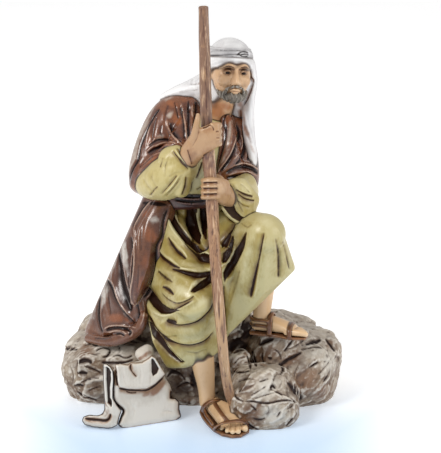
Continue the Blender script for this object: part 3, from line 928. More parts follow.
COAT = [
    # along the near outline, and the cord of cloth from shoulder to hand
    ([(160.5, 107.5, 0.5), (154, 117, 0.7), (147, 131, 0.8), (140.8, 146, 0.8), (138, 160, 0.8), (133, 168.5, 0.8), (129.6, 179, 0.7), (128.6, 188, 0.5)], 1.3, 1.0, 0),
    ([(167, 119, 0.5), (167.8, 127.5, 0.75), (171.5, 133.5, 0.8), (175.2, 139, 0.8), (179.6, 143.4, 0.75), (185.5, 148.5, 0.6)], -2.1, 0.0, 0),
    ([(170.5, 122, 0.5), (171.8, 130, 1.0), (176.5, 136.8, 1.2), (182, 142, 0.8)], 1.2, 0.9, -1),
    ([(180.5, 102, 0.5), (183, 112, 0.7), (185, 126, 0.7), (186.4, 138, 0.6), (186, 144.5, 0.5)], -1.6, 0.0, 0),
    ([(181.5, 106, 0.5), (182.6, 116, 0.8), (184, 128, 0.8), (184.6, 140, 0.6)], 0.9, 0.75, 1), ([(188.6, 99, 0.6), (188.2, 112, 1.0), (188.4, 126, 1.2), (188, 140, 1.0), (186.5, 147, 0.5)], 1.0, 0.9, 0),
    ([(192.2, 105, 0.8), (191.8, 111, 1.0), (192.6, 117.5, 0.6)], -1.2, 0.0, 0), ([(196, 101, 0.9), (196, 110, 1.1), (195, 120, 1.2), (193, 130, 0.9)], 0.8, 1.0, 0),
    ([(174, 101, 0.5), (176.5, 110, 0.9), (178.5, 119, 0.6)], 0.8, 0.5, 0), ([(168.5, 104, 0.5), (166, 112, 0.9), (164.5, 121, 0.5)], 0.6, 0.35, -1),
    ([(147, 153.5, 0.5), (154, 149, 1.2), (161, 147.3, 1.5), (170, 148, 1.4), (176, 145.5, 0.6)], 1.3, 1.0, 1), ([(155, 147, 0.6), (163, 142.6, 0.8), (172, 142.5, 0.8), (178, 144, 0.5)], -1.5, 0.0, 0),
    ([(150, 158, 0.6), (158, 153.6, 1.0), (166, 152, 0.7)], -1.0, 0.0, 0), ([(148.5, 146.5, 0.5), (156, 140.5, 0.9), (163, 139.2, 1.0), (171, 140, 0.5)], 1.1, 0.8, 1),
    ([(142, 173, 0.8), (150, 167, 1.1), (157.5, 161, 1.1), (164.5, 155.5, 1.1), (171.5, 151.5, 0.9)], 1.0, 1.0, 0), ([(137, 182.5, 0.8), (138.5, 178, 1.0), (141.7, 173.5, 0.8)], 1.0, 0.95, 0),
    ([(139, 168, 0.8), (147, 160, 1.2), (154, 156, 0.8)], 0.7, 0.45, 0), ([(152, 120, 0.8), (148, 134, 1.4), (145, 148, 0.8)], -0.6, 0.0, 0), ([(157, 116, 0.8), (153.5, 130, 1.2), (152, 142, 0.8)], 0.6, 0.45, 0),
    ([(162, 124, 0.6), (160.5, 132, 1.1), (163, 138, 0.6)], 0.6, 0.5, 0), ([(134, 186, 0.6), (137, 179, 0.9), (141, 172, 0.6)], -0.8, 0.0, 0), ([(133, 176, 0.6), (138, 166, 0.9), (143, 157, 0.6)], -0.5, 0.0, 0),
    # the side under the head cloth
    ([(236.5, 124, 0.6), (238.4, 134.5, 1.2), (235.2, 148, 1.4), (228.4, 161, 1.4), (219.4, 172.5, 0.9)], 1.4, 1.0, 0),
    ([(230, 111, 0.5), (235.4, 126, 0.7), (235.6, 138, 0.8), (231.5, 152, 0.8), (225, 162.5, 0.8), (217.6, 173, 0.6)], -1.5, 0.0, 0),
    ([(240.8, 135, 0.6), (242.6, 143, 0.7), (239.3, 152, 0.7), (233.5, 159.5, 0.6)], -1.6, 0.0, 0), ([(243.6, 140, 0.6), (244, 150, 1.1), (240.5, 159, 1.1), (234, 166, 0.7)], 1.3, 0.95, 0),
    ([(247.5, 146, 0.6), (249, 154, 1.1), (247.5, 161, 0.8)], 1.0, 0.9, 0), ([(252.5, 152, 0.6), (254, 160, 1.0), (255.5, 166, 0.7)], 1.0, 0.9, 0), ([(250.7, 150, 0.5), (251.4, 158, 0.6), (251, 164, 0.5)], -1.2, 0.0, 0),
    ([(225.5, 173.2, 0.9), (236, 168, 1.4), (245, 166.6, 1.5), (252.8, 169.2, 1.4), (258.4, 174, 0.9)], 1.4, 1.0, 0), ([(233, 165.6, 0.5), (242, 163.2, 0.8), (251, 165.4, 0.8), (257.5, 169.6, 0.6)], -1.6, 0.0, 0),
    ([(227, 175.4, 0.4), (238, 172.2, 0.8), (248, 172, 0.9), (257, 176.5, 0.7)], -1.2, 0.0, 0), ([(251, 178, 0.6), (255.4, 184, 1.1), (257, 192, 0.9), (257.4, 202, 0.6)], 1.0, 0.85, 0),
    ([(225.5, 178, 0.8), (235, 176.4, 1.0), (245, 178, 1.0), (251.5, 183.5, 1.0), (255, 193, 0.9), (256.4, 206, 0.7)], 1.0, 1.0, 0),
    ([(229, 110, 0.6), (223.4, 121, 0.8), (226, 131, 0.5)], 0.7, 0.85, 0), ([(226.2, 122, 0.8), (225.2, 138, 1.0), (221.4, 154, 1.1), (217.6, 166, 1.1), (216.5, 174, 0.8)], 0.8, 0.9, 0),
    ([(231.5, 122, 0.8), (231.5, 136, 1.2), (228, 150, 0.8)], -0.6, 0.0, 0),
]
SLEEVES = [
    ([(172.4, 150, 0.6), (177, 156.5, 0.9), (181.5, 162, 0.9), (189.4, 170.5, 0.6)], 1.1, 0.6, 1), ([(177, 147, 0.5), (182, 155.5, 0.8), (188.6, 166, 0.6)], 1.1, 0.55, 1), ([(174.6, 148, 0.4), (179.6, 155.6, 0.7), (186.6, 165, 0.5)], -1.2, 0.0, 0),
    ([(163, 157, 0.5), (161.6, 162, 0.8), (160, 168, 0.4)], 0.8, 0.4, 0), ([(178, 174, 0.4), (173, 181, 0.8), (168, 187, 0.9), (161, 195, 0.5)], 1.0, 0.45, 1), ([(181.5, 177.5, 0.4), (176, 185, 0.7), (171, 191, 0.7), (165.5, 197, 0.5)], 0.9, 0.4, 1),
    ([(180, 174.5, 0.5), (173.5, 184, 0.9), (166, 193, 0.7)], -1.0, 0.0, 0), ([(158, 186, 0.5), (153.5, 191, 1.0), (150, 196, 0.6)], 0.8, 0.5, 0), ([(168.6, 157, 0.5), (165, 168, 1.0), (165.5, 178, 0.5)], 0.6, 0.35, 0),
    ([(153, 168, 0.6), (151.5, 178, 1.2), (156, 187, 0.6)], 0.5, 0.3, 0), ([(186, 176, 0.6), (185, 186, 1.1), (181.5, 196, 0.8)], 0.9, 0.7, -1), ([(143, 178, 0.8), (148, 187, 1.2), (156, 193.5, 0.6)], 0.5, 0.3, 0), ([(184, 172, 0.4), (175, 173, 0.7), (168, 177, 0.4)], 0.6, 0.35, 0),
    # the other forearm
    ([(235.5, 189, 0.4), (241, 192.5, 0.8), (247, 195, 0.9), (253.6, 196.5, 0.8)], 1.2, 0.9, 1), ([(237, 193, 0.4), (244, 198, 0.8), (250, 200, 0.9), (255, 200.5, 0.7)], 1.2, 0.9, 1), ([(238, 190, 0.4), (245, 193, 0.6), (252, 194, 0.4)], -1.0, 0.0, 0),
    ([(237.5, 200, 0.4), (243, 205, 0.8), (250, 207, 0.4)], 0.8, 0.5, 1), ([(233, 184, 0.5), (236, 192, 1.0), (238.5, 203, 1.0), (244, 214, 0.6)], 0.7, 0.45, 1), ([(240, 183, 0.4), (246, 188, 0.7), (250, 193, 0.4)], 0.6, 0.35, 1),
    ([(229, 183, 0.6), (231, 194, 0.8), (232.4, 202, 0.7)], 0.8, 0.8, 0),
]
SCARF = [
    ([(189.5, 84.5, 0.4), (195, 84.4, 0.6), (201, 83.2, 0.6)], 0.9, 0.45, -1), ([(178, 92.5, 0.5), (188, 91, 0.8), (199, 89.5, 0.6)], 0.7, 0.35, 1), ([(196.5, 70, 0.5), (193, 78, 1.0), (190.5, 84, 0.6)], 0.6, 0.3, 0),
    ([(250.5, 70, 0.6), (251, 77, 0.8), (253.4, 80.5, 0.7), (252, 88, 0.6), (248, 98, 0.7), (244, 106, 0.6)], 1.0, 0.6, 1), ([(248, 98, 0.6), (246.5, 112, 1.0), (250, 128, 1.0), (255, 144, 0.6)], 0.5, 0.1, -1),
    ([(252, 100, 0.5), (253, 118, 0.8), (256.5, 138, 0.5)], 0.4, 0.05, 0), ([(240, 108, 0.7), (241, 117, 0.9), (246, 130, 0.9), (252, 146, 0.7)], 0.6, 0.45, -1),
    ([(209, 71, 0.6), (217, 70, 0.7), (223, 68.8, 0.7), (227.5, 66.2, 0.8), (231, 64, 0.9), (235.5, 65.2, 0.6), (242, 64.2, 0.8), (247, 66.8, 0.7), (250, 69, 0.6)], 0.8, 1.0, -1),
    ([(213, 64, 0.4), (222, 62, 0.6), (232, 61.5, 0.5), (243, 61.5, 0.4)], 0.6, 0.2, 0),
]
SASH = [
    ([(176, 195, 0.5), (186, 196.6, 0.9), (196, 197.2, 0.8), (206, 196, 0.5)], 1.0, 1.0, 0), ([(174, 199.5, 0.5), (184, 201, 1.0), (194, 201.8, 0.9), (206, 200.6, 0.6)], 1.0, 1.0, 0),
    ([(178, 197.4, 0.5), (188, 199.2, 0.7), (200, 199.4, 0.5)], -1.2, 0.0, 0), ([(176, 202, 0.5), (186, 203.6, 0.7), (200, 203.8, 0.5)], -1.0, 0.0, 0),
    ([(190, 193, 0.4), (193, 198, 0.8), (191, 205, 0.4)], 0.6, 0.8, 0),
]
BAND = [
    ([(209, 51.6, 0.5), (218, 51, 0.6), (230, 50.8, 0.6), (243, 51, 0.5)], 0.6, 0.3, 0), ([(209, 55.4, 0.5), (220, 55.2, 0.7), (232, 54.6, 0.7), (245, 54.5, 0.6)], 0.7, 0.45, 0), ([(210, 59.3, 0.5), (222, 57.8, 0.5), (236, 57.6, 0.4)], 0.6, 0.4, 0),
    ([(237, 55.5, 0.5), (240, 52.6, 0.6), (245, 51.8, 0.5), (248.5, 53.5, 0.4)], 0.8, 0.65, 0), ([(238, 53.6, 0.5), (242, 56.2, 0.6), (248, 56.8, 0.5)], 0.8, 0.65, 0), ([(241, 54.5, 0.4), (245, 54.2, 0.5), (249, 55.2, 0.4)], 0.8, 0.55, 0),
]
BAGS = [
    # under the flap, its creases and its folded corner
    ([(117.8, 388.4, 1.0), (126.7, 390, 1.0), (136.7, 390.6, 0.9), (147, 390.2, 1.0), (156, 385, 1.1), (165, 376, 0.9)], 0.9, 1.0, 1), ([(126, 391.6, 0.4), (131, 393, 0.7), (137, 392.6, 0.4)], 0.9, 0.9, 0),
    ([(130.8, 363, 1.0), (130.6, 367, 1.3), (132, 371.5, 0.7), (137, 377.5, 0.3)], 0.9, 0.95, 0), ([(150.4, 362, 0.4), (150.6, 374, 0.6), (150, 386, 0.4)], 0.5, 0.3, 0),
    ([(140, 366, 0.5), (141, 376, 0.9), (140, 385, 0.4)], 0.4, 0.18, 0), ([(123, 368, 0.5), (124, 378, 0.9), (126, 386, 0.4)], 0.4, 0.15, 0),
    ([(114.2, 365.5, 1.2), (115.4, 372, 1.5), (116, 379, 1.4), (117.4, 386.5, 0.9)], 1.2, 1.0, 1),
    # between the strap and the sack
    ([(112.2, 396, 0.9), (113.4, 401.5, 1.4), (117.8, 406.6, 1.7), (122, 411, 1.9), (119.8, 417, 1.7), (117.4, 425.5, 1.2)], 1.2, 1.0, 0),
    ([(171.5, 388, 0.6), (171, 396, 0.9), (175, 398.5, 0.5)], 0.8, 0.9, 0), ([(160, 412, 0.5), (168, 411, 1.2), (175, 413, 0.5)], 0.4, 0.15, 0), ([(128, 402, 0.5), (134, 408, 1.4), (134, 418, 0.6)], 0.35, 0.12, 0),
]
STRAP = [
    ([(83.5, 418.3, 0.9), (90, 419.6, 1.5), (98, 420.4, 1.5), (105, 420.9, 1.5), (109, 418.6, 1.3), (110.8, 413, 0.9)], 1.2, 1.0, 0), ([(105, 410, 0.5), (107, 414, 0.9), (104, 417, 0.4)], 0.5, 0.4, 0),
]
STONES = [
    ([(63.5, 348.8, 0.7), (69, 348.6, 1.6), (78, 349.2, 0.9)], 1.5, 1.0, 0), ([(77, 363.5, 1.0), (83, 360.4, 3.0), (89, 360.8, 2.2), (92, 364, 0.8)], 0.9, 1.0, 0), ([(76.5, 373.4, 0.8), (82, 373, 1.8), (88, 373.6, 0.9)], 1.1, 1.0, 0),
    ([(74, 385.8, 0.6), (79, 385.4, 1.5), (84, 386, 0.6)], 1.1, 0.95, 0), ([(76, 391, 0.5), (86, 397, 1.2), (98, 401, 1.0)], 1.2, 0.8, 0), ([(80, 383, 0.4), (90, 379, 0.8), (100, 378, 0.5)], 1.1, 0.7, 0), ([(88, 391, 0.4), (95, 388, 1.0), (102, 386, 0.5)], 1.1, 0.75, 0),
    ([(70, 365, 0.5), (73, 375, 0.9), (72, 386, 0.5)], 0.9, 0.5, 0), ([(84, 366, 0.5), (93, 369, 1.0), (101, 373, 0.7)], 1.1, 0.8, 0),
    ([(95, 352, 0.5), (99, 349, 0.9), (104, 348, 0.6), (110, 350, 0.7), (107, 356, 0.9), (101, 357, 0.6)], 1.2, 0.75, 0), ([(112, 357, 0.5), (118, 355, 0.9), (126, 358, 0.8), (133, 355, 0.5)], 1.2, 0.75, 0), ([(118, 345, 0.5), (120, 349, 1.0), (119, 353, 0.5)], 1.0, 0.5, 0),
    ([(92, 344, 0.8), (99, 344.8, 1.3), (106, 342.4, 0.8)], 1.2, 1.0, 0), ([(100, 362, 0.7), (112, 363, 1.2), (124, 362.6, 1.0), (134, 359.5, 0.6)], 1.2, 1.0, 0), ([(128, 340, 0.8), (133, 342, 1.2), (138, 343, 0.8)], 1.0, 0.8, 0),
    # the near boulder
    ([(243.8, 401.6, 0.5), (253, 401.6, 0.6), (261.5, 403, 0.6), (269.7, 403, 0.6), (279, 401, 0.6), (288.5, 400.4, 0.6), (299, 402.6, 0.5)], 1.6, 1.0, 0), ([(229.7, 388.5, 0.5), (236.8, 398, 0.9), (243.8, 402, 0.6)], 1.3, 0.9, 0),
    ([(250, 396.4, 0.4), (258, 391.5, 0.9), (266.5, 386, 0.4)], 1.2, 0.6, 0), ([(254, 399, 0.4), (266, 395, 0.8), (281, 390.5, 0.4)], 1.1, 0.5, 0), ([(259, 382, 0.4), (264, 380.4, 0.9), (269, 378.6, 0.4)], 1.1, 0.6, 0),
    ([(269.5, 388.5, 0.5), (273, 386, 1.4), (275.4, 389, 0.6)], 1.0, 0.85, 0), ([(276, 391.4, 0.5), (280, 393.6, 1.0), (283, 396, 0.5)], 1.0, 0.7, 0), ([(236, 383, 0.4), (246, 379, 1.0), (255, 379.5, 0.5)], 1.0, 0.5, 0), ([(238, 392, 0.5), (247, 388, 1.4), (256, 384, 0.6)], 0.8, 0.45, 0),
    ([(276.5, 418, 0.4), (279, 414, 1.0), (281, 411, 0.5)], 1.0, 0.7, 0), ([(286, 427, 0.8), (290, 422, 1.0), (293, 418, 0.5)], 1.1, 0.8, 0), ([(250, 405, 0.4), (254, 408, 0.8), (256, 411, 0.4)], 1.0, 0.8, 0), ([(267, 406, 0.4), (269, 410, 0.8), (267, 415, 0.4)], 0.9, 0.5, 0),
    ([(252, 418, 1.0), (259, 420, 2.2), (266, 418, 0.9)], 0.6, 0.7, 0), ([(287, 410, 0.4), (292, 406, 0.8), (296, 401, 0.4)], 0.9, 0.5, 0), ([(246, 422, 0.8), (252, 427, 1.2), (259, 430, 0.8)], 0.9, 0.9, 0),
    # behind it, and the far boulder
    ([(258, 345.5, 0.8), (263, 342.5, 1.9), (269, 339.8, 1.9), (274, 338.6, 0.8)], 1.2, 1.0, 0), ([(262.5, 352, 0.5), (262, 358, 1.0), (264, 363, 0.5)], 1.1, 0.9, 0), ([(267, 357, 0.6), (270, 358.4, 1.4), (273, 358, 0.6)], 0.9, 0.8, 0),
    ([(295.6, 337, 0.5), (290, 343.6, 0.8), (283.8, 352, 0.5)], 1.6, 1.0, 0), ([(279, 366, 1.0), (286, 361, 1.8), (294, 356.6, 1.6), (303, 351.5, 0.7)], 1.0, 0.9, 0), ([(274, 349, 0.4), (279, 353, 0.8), (281, 360, 0.5)], 1.0, 0.8, 0),
    ([(305, 345, 0.7), (311, 342.4, 2.0), (317, 340.6, 2.0), (321.5, 339.6, 0.8)], 1.1, 1.0, 0), ([(325, 338, 0.7), (330, 344, 1.6), (335.5, 352, 0.9)], 1.1, 0.85, 0), ([(300, 350, 0.4), (312, 347.6, 0.7), (324, 347.6, 0.4)], 1.2, 0.8, 0), ([(286, 350, 0.4), (296, 346, 0.8), (304, 340, 0.5)], 1.1, 0.6, 0),
    ([(309, 368, 0.4), (314, 364.6, 1.2), (318, 362, 0.4)], 0.9, 0.7, 0), ([(323, 382, 0.6), (326, 378.6, 1.3), (328, 375, 0.5)], 0.9, 0.75, 0), ([(300, 362, 0.4), (296, 370, 0.9), (294, 378, 0.4)], 0.8, 0.5, 0), ([(318, 375, 0.4), (326, 366, 0.9), (333, 356, 0.4)], 0.9, 0.45, 0),
    ([(306, 398, 0.4), (316, 388, 0.8), (324, 377, 0.4)], 0.8, 0.4, 0), ([(287, 381, 1.0), (293, 388, 2.0), (299, 396, 2.2), (301, 401, 1.4)], 1.0, 1.0, 0), ([(301, 411.5, 1.2), (310, 410.6, 2.2), (320, 408.6, 2.0), (330, 401, 0.9)], 0.9, 0.95, 0), ([(280, 375.5, 0.8), (283, 369, 1.2), (279, 363, 0.8)], 1.0, 0.9, 0),
    # under the tunic and behind the stick
    ([(166.7, 378, 0.6), (172, 372, 1.2), (180, 374, 1.0), (186, 381, 0.6)], 1.2, 0.9, 0), ([(176, 388, 0.6), (186, 383, 1.2), (195, 386, 0.7)], 1.1, 0.85, 0), ([(192, 371, 0.8), (198, 380, 1.3), (201, 394, 0.8)], 1.1, 0.9, 0),
    ([(234, 364, 0.4), (239, 358.6, 0.8), (246, 356.6, 0.5)], 1.1, 0.8, 0), ([(247, 355, 0.5), (249.5, 362, 1.1), (250.5, 370, 0.8)], 1.2, 1.0, 0), ([(233, 371.5, 0.7), (240, 372, 1.0), (250, 370.6, 0.7)], 1.0, 1.0, 0), ([(252, 350, 0.6), (254.5, 360, 1.2), (256.5, 367, 0.8)], 1.1, 0.9, 0),
]
HANDS = [
    ([(203, 156, 0.4), (208, 153.4, 0.7), (214, 151, 0.6)], 0.6, 0.8, 0), ([(203, 182.8, 0.5), (210, 182.5, 0.6), (218, 182.4, 0.4)], 1.0, 0.85, 1), ([(202.6, 188.4, 0.5), (210, 188.3, 0.6), (218, 188.2, 0.4)], 1.0, 0.85, 1),
    ([(203, 194.2, 0.5), (210, 194.1, 0.6), (217.5, 193.8, 0.4)], 1.0, 0.85, 1), ([(202.4, 128, 0.5), (206, 127, 0.6), (209.5, 125, 0.4)], 0.8, 0.8, 0), ([(215.6, 131.6, 0.3), (219, 131.4, 0.5)], 0.8, 0.45, 0), ([(216, 138, 0.3), (219.6, 138, 0.5)], 0.8, 0.45, 0),
    ([(199, 131, 0.5), (197, 138, 0.9), (192, 147, 0.5)], 0.4, 0.25, 0), ([(205, 133, 0.4), (209, 139, 0.7), (209, 147, 0.4)], -0.4, 0.0, 0), ([(187, 149, 0.5), (190, 158, 0.8), (192, 165, 0.5)], 0.6, 0.6, -1),
    ([(222, 181, 0.4), (225.5, 188, 0.8), (225.5, 197, 0.4)], 0.35, 0.2, 0), ([(209, 124.6, 0.3), (212.5, 127, 0.5), (214, 131, 0.3)], 0.7, 0.4, 0),
]


# ---------------------------------------------------------------- paint
def srgb(r, g, b):
    return tuple(((c / 255 + 0.055) / 1.055) ** 2.4 if c > 10 else c / 255 / 12.92 for c in (r, g, b))


class Paint:
    """A Principled material whose colour is built up in coats, each mixed over the last by a mask."""

    def __init__(self, name, base, roughness=0.35, coat=0.25):
        self.m = bpy.data.materials.new(name)
        self.m.use_nodes = True
        self.t = self.m.node_tree
        self.shader = self.t.nodes["Principled BSDF"]
        self.shader.inputs["Roughness"].default_value = roughness
        self.shader.inputs["Coat Weight"].default_value = coat
        self.shader.inputs["Coat Roughness"].default_value = 0.18
        self.where = self.t.nodes.new("ShaderNodeTexCoord").outputs["Object"]
        rgb = self.t.nodes.new("ShaderNodeRGB")
        rgb.outputs[0].default_value = (*srgb(*base), 1)
        self.colour = rgb.outputs[0]

    def join(self, a, b):
        self.t.links.new(a, b)

    def math(self, op, *inputs, clamp=False):
        n = self.t.nodes.new("ShaderNodeMath")
        n.operation, n.use_clamp = op, clamp
        for i, x in enumerate(inputs):
            if isinstance(x, (int, float)):
                n.inputs[i].default_value = x
            else:
                self.join(x, n.inputs[i])
        return n.outputs[0]

    def attribute(self, name):
        n = self.t.nodes.new("ShaderNodeAttribute")
        n.attribute_name = name
        return n.outputs["Fac"]

    def noise(self, size_mm, detail=3.0, rough=0.55, stretch=(1, 1, 1), seed=0.0):
        mapping = self.t.nodes.new("ShaderNodeMapping")
        self.join(self.where, mapping.inputs["Vector"])
        mapping.inputs["Scale"].default_value = stretch
        mapping.inputs["Location"].default_value = (seed, seed * 0.7, -seed)
        n = self.t.nodes.new("ShaderNodeTexNoise")
        self.join(mapping.outputs[0], n.inputs["Vector"])
        n.inputs["Scale"].default_value = 1000.0 / size_mm
        n.inputs["Detail"].default_value = detail
        n.inputs["Roughness"].default_value = rough
        return n.outputs["Fac"]

    def ramp(self, x, low, high):
        n = self.t.nodes.new("ShaderNodeMapRange")
        n.interpolation_type = "SMOOTHSTEP"
        self.join(x, n.inputs["Value"])
        n.inputs["From Min"].default_value, n.inputs["From Max"].default_value = low, high
        return n.outputs["Result"]

    def coat(self, mask, colour, strength=1.0):
        n = self.t.nodes.new("ShaderNodeMix")
        n.data_type = "RGBA"
        if strength != 1.0:
            mask = self.math("MULTIPLY", mask, strength, clamp=True)
        self.join(mask, n.inputs["Factor"])
        self.join(self.colour, n.inputs["A"])
        n.inputs["B"].default_value = (*srgb(*colour), 1)
        self.colour = n.outputs["Result"]

    def finish(self, bump_mm=0.0, bump_size=1.2, rough=None):
        self.join(self.colour, self.shader.inputs["Base Color"])
        if bump_mm:
            b = self.t.nodes.new("ShaderNodeBump")
            b.inputs["Distance"].default_value = bump_mm * 0.001
            b.inputs["Strength"].default_value = 0.8
            self.join(self.noise(bump_size, 4.0), b.inputs["Height"])
            self.join(b.outputs[0], self.shader.inputs["Normal"])
        if rough:
            n = self.t.nodes.new("ShaderNodeMapRange")
            self.join(self.noise(4.0, 2.0, seed=3.1), n.inputs["Value"])
            n.inputs["From Min"].default_value, n.inputs["From Max"].default_value = 0.3, 0.7
            n.inputs["To Min"].default_value, n.inputs["To Max"].default_value = rough
            self.join(n.outputs[0], self.shader.inputs["Roughness"])
        return self.m


def cloth_paint(name, light, mid, shade, dark, bright, roughness, coat, bump=0.05, warm=None, pale=None, tone=0.0, rocky=False, late=None):
    """Paint over carved folds: a light tone on what stands proud, a mid glaze towards the folds, then shade, wash and seams."""
    p = Paint(name, light, roughness[0], coat)
    if tone:
        p.coat(p.ramp(p.math("ADD", p.attribute("tone"), p.math("MULTIPLY", p.math("SUBTRACT", p.noise(2.0, 3, seed=7), 0.5), 0.5)), 0.75, 0.25), mid, tone)
    streak = p.math("ADD", p.math("MULTIPLY", p.math("SUBTRACT", p.noise(9, 4, seed=1.3), 0.42), 1.2), p.math("MULTIPLY", p.math("SUBTRACT", p.noise(1.4, 3, stretch=(1, 1, 0.35), seed=14), 0.5), 0.8))
    spread = p.math("ADD", p.attribute("glaze"), streak)
    p.coat(p.ramp(spread, 0.1, 0.85), mid, 0.95)
    if pale:
        p.coat(p.ramp(p.math("ADD", p.attribute("pale"), p.math("MULTIPLY", p.math("SUBTRACT", p.noise(4, 4, seed=11), 0.5), 0.9)), 0.15, 0.95), pale, 0.9)
    elif not rocky:
        p.coat(p.ramp(p.math("ADD", p.attribute("pale"), p.math("MULTIPLY", p.math("SUBTRACT", p.noise(4, 4, seed=11), 0.5), 0.6)), 0.15, 0.95), bright, 0.55)
    if rocky:
        up, geo = p.t.nodes.new("ShaderNodeSeparateXYZ"), p.t.nodes.new("ShaderNodeNewGeometry")
        p.join(geo.outputs["Normal"], up.inputs[0])
        p.coat(p.ramp(p.math("ADD", up.outputs["Z"], p.math("MULTIPLY", p.math("SUBTRACT", p.noise(5, 4, seed=8), 0.5), 1.3)), 0.2, 1.1), bright, 0.5)
    p.coat(p.ramp(p.math("ADD", p.attribute("warm"), p.math("MULTIPLY", p.math("SUBTRACT", p.noise(5, 4, seed=12), 0.5), 0.8)), 0.2, 0.95), warm or shade, 0.85)
    p.coat(p.ramp(p.attribute("edge"), 0.15, 1.1), bright if rocky else light, 0.8)
    relief = p.math("ADD", p.attribute("hollow"), p.math("MULTIPLY", p.math("SUBTRACT", p.noise(3.0, 4), 0.5), 0.9))
    p.coat(p.ramp(relief, 0.15, 1.3), shade, 0.85)
    haze = p.math("ADD", p.attribute("haze"), p.math("MULTIPLY", p.math("SUBTRACT", p.noise(4, 4, seed=2), 0.5), 0.45))
    p.coat(p.ramp(haze, 0.15, 0.9), shade, 0.9)
    if late:
        p.coat(p.ramp(p.math("ADD", p.attribute("late"), p.math("MULTIPLY", p.math("SUBTRACT", p.noise(3, 4, seed=21), 0.5), 0.6)), 0.15, 1.0), late, 0.85)
    wash = p.math("ADD", p.math("ADD", p.attribute("wash"), p.math("MULTIPLY", p.attribute("hollow"), 0.14)),
                  p.math("MULTIPLY", p.math("SUBTRACT", p.noise(2.2, 3, seed=5), 0.5), 0.35))
    inked = p.ramp(wash, 0.25, 0.75)
    p.coat(inked, dark, 0.97)
    p.join(p.math("MULTIPLY", p.math("SUBTRACT", 1.0, p.math("MULTIPLY", inked, 0.75)), coat), p.shader.inputs["Coat Weight"])
    p.join(p.math("MULTIPLY", p.math("SUBTRACT", 1.0, p.math("MULTIPLY", inked, 0.7)), 0.5), p.shader.inputs["Specular IOR Level"])
    p.coat(p.ramp(p.attribute("seam"), 0.2, 0.9), dark, 0.9)
    p.coat(p.ramp(p.math("ADD", p.attribute("edge"), p.math("SUBTRACT", p.noise(2.6, 3, seed=9), 0.5)), 0.8, 1.7), bright, 0.6)
    return p.finish(bump, 1.6, roughness)


# ---------------------------------------------------------------- making the pieces
SKINS = {}
MARKS = ("wash", "haze", "glaze", "warm", "pale", "seam", "tone", "late")


def make(name, shells, voxel, relax, strokes=(), after=1):
    skin = surface(shells, voxel, relax)
    if strokes:
        press(skin, strokes)
        skin.relax(after)
    SKINS[name] = skin
    return skin


tunic_skin = make("tunic", tunic(), 0.62, 16, TUNIC)
cloak_skin = make("cloak", cloak(), 0.72, 12, CLOAK)
coat_skin = make("coat", coat(), 0.62, 14, COAT)
sleeve_skin = make("sleeves", sleeves(), 0.55, 12, SLEEVES)
sash_skin = make("sash", sash(), 0.6, 2, SASH)
scarf_skin = make("head_cloth", scarf(), 0.75, 10, SCARF)
band_skin = make("head_band", band(), 0.45, 2, BAND)
bag_skin = make("bag", bag(), 0.5, 2, BAGS)
strap_skin = make("bag_strap", strap(), 0.45, 2, STRAP)
hand_skin = make("hands", hands(), 0.42, 7, HANDS)
foot_skin = make("feet", feet(), 0.5, 4)
sandal_skin = make("sandals", sandals(), 0.45, 2)

falls(cloak_skin, 1.5)
falls(coat_skin, 1.1)
falls(scarf_skin, 1.2)
rim(bag_skin, "wash", BAG_LINE, 1.4, 1.0, 391)
rim(bag_skin, "warm", BAG_LINE, 2.6, 0.7, 391)
rim(strap_skin, "wash", STRAP_LINE, 0.9, 1.0)
rim(strap_skin, "warm", STRAP_LINE, 1.8, 0.5)
rim(bag_skin, "haze", FLAP_LINE, 0.8, 0.7)
fill(strap_skin, "wash", STRAP_HOLLOW, 1.0, 2.6)
fill(bag_skin, "wash", FLAP_HOLLOW, 0.9, 1.6)
fill(sleeve_skin, "wash", [(222.5, 205.8), (227, 204), (232.5, 203.6), (236, 211), (241, 216), (245.5, 218.6), (243, 221.6), (239, 222), (232, 218.4), (226, 211.6)], 1.0, 1.8)
for outline, amount, depth in (
        ([(167, 211), (171.5, 210), (173.5, 215), (177, 221.5), (182, 228.5), (188, 235.5), (194, 242.5), (200, 248.6), (206, 253.6), (212, 255), (212, 260), (206, 259), (200, 255.4), (194, 249.4), (186, 241.4), (178, 233), (173, 225), (169.6, 218)], 0.95, 1.2),
        ([(189, 203), (196.4, 203), (196, 216), (198, 225), (201, 235), (199.4, 241), (196.6, 235.4), (193, 227.4), (190, 217)], 0.95, 1.6), ([(200.4, 202), (210, 202), (209.4, 217), (207.2, 227), (203.4, 234.4), (202, 227), (201.2, 215)], 0.95, 1.6),
        ([(144, 288), (149, 287), (155, 294.6), (162, 303.6), (170, 308.8), (181, 310.4), (170, 313.6), (161, 313.2), (153, 306.4), (147, 297.4)], 0.9, 0.8),
        ([(148.4, 321), (154.4, 325), (161.6, 335), (169.6, 347.6), (176, 355), (185, 362.6), (180, 362.6), (170, 355.4), (160, 344), (152, 335.4), (147.6, 329)], 0.95, 1.0),
        ([(235, 227), (231.6, 235), (226.6, 243), (222, 248), (222, 242.4), (228, 234)], 0.95, 1.0), ([(245.4, 233), (243.4, 247), (237, 259), (229.4, 271), (224.6, 283), (223.6, 273), (229.6, 259), (237.4, 247)], 0.95, 1.0),
        ([(223, 253), (228.4, 248), (226.4, 259), (222.6, 264)], 0.9, 0.8), ([(192.6, 290), (200, 282.6), (213, 273.6), (213, 281), (204, 287.4), (194, 292.4)], 0.9, 0.9),
        ([(173, 269.4), (188, 271.4), (200, 272.6), (213, 271.4), (213, 276.4), (200, 277.4), (188, 275)], 0.9, 0.9)):
    fill(tunic_skin, "wash", outline, amount, depth, 1.2)
for skin in (strap_skin, bag_skin, sleeve_skin, tunic_skin):
    skin.relax(1)

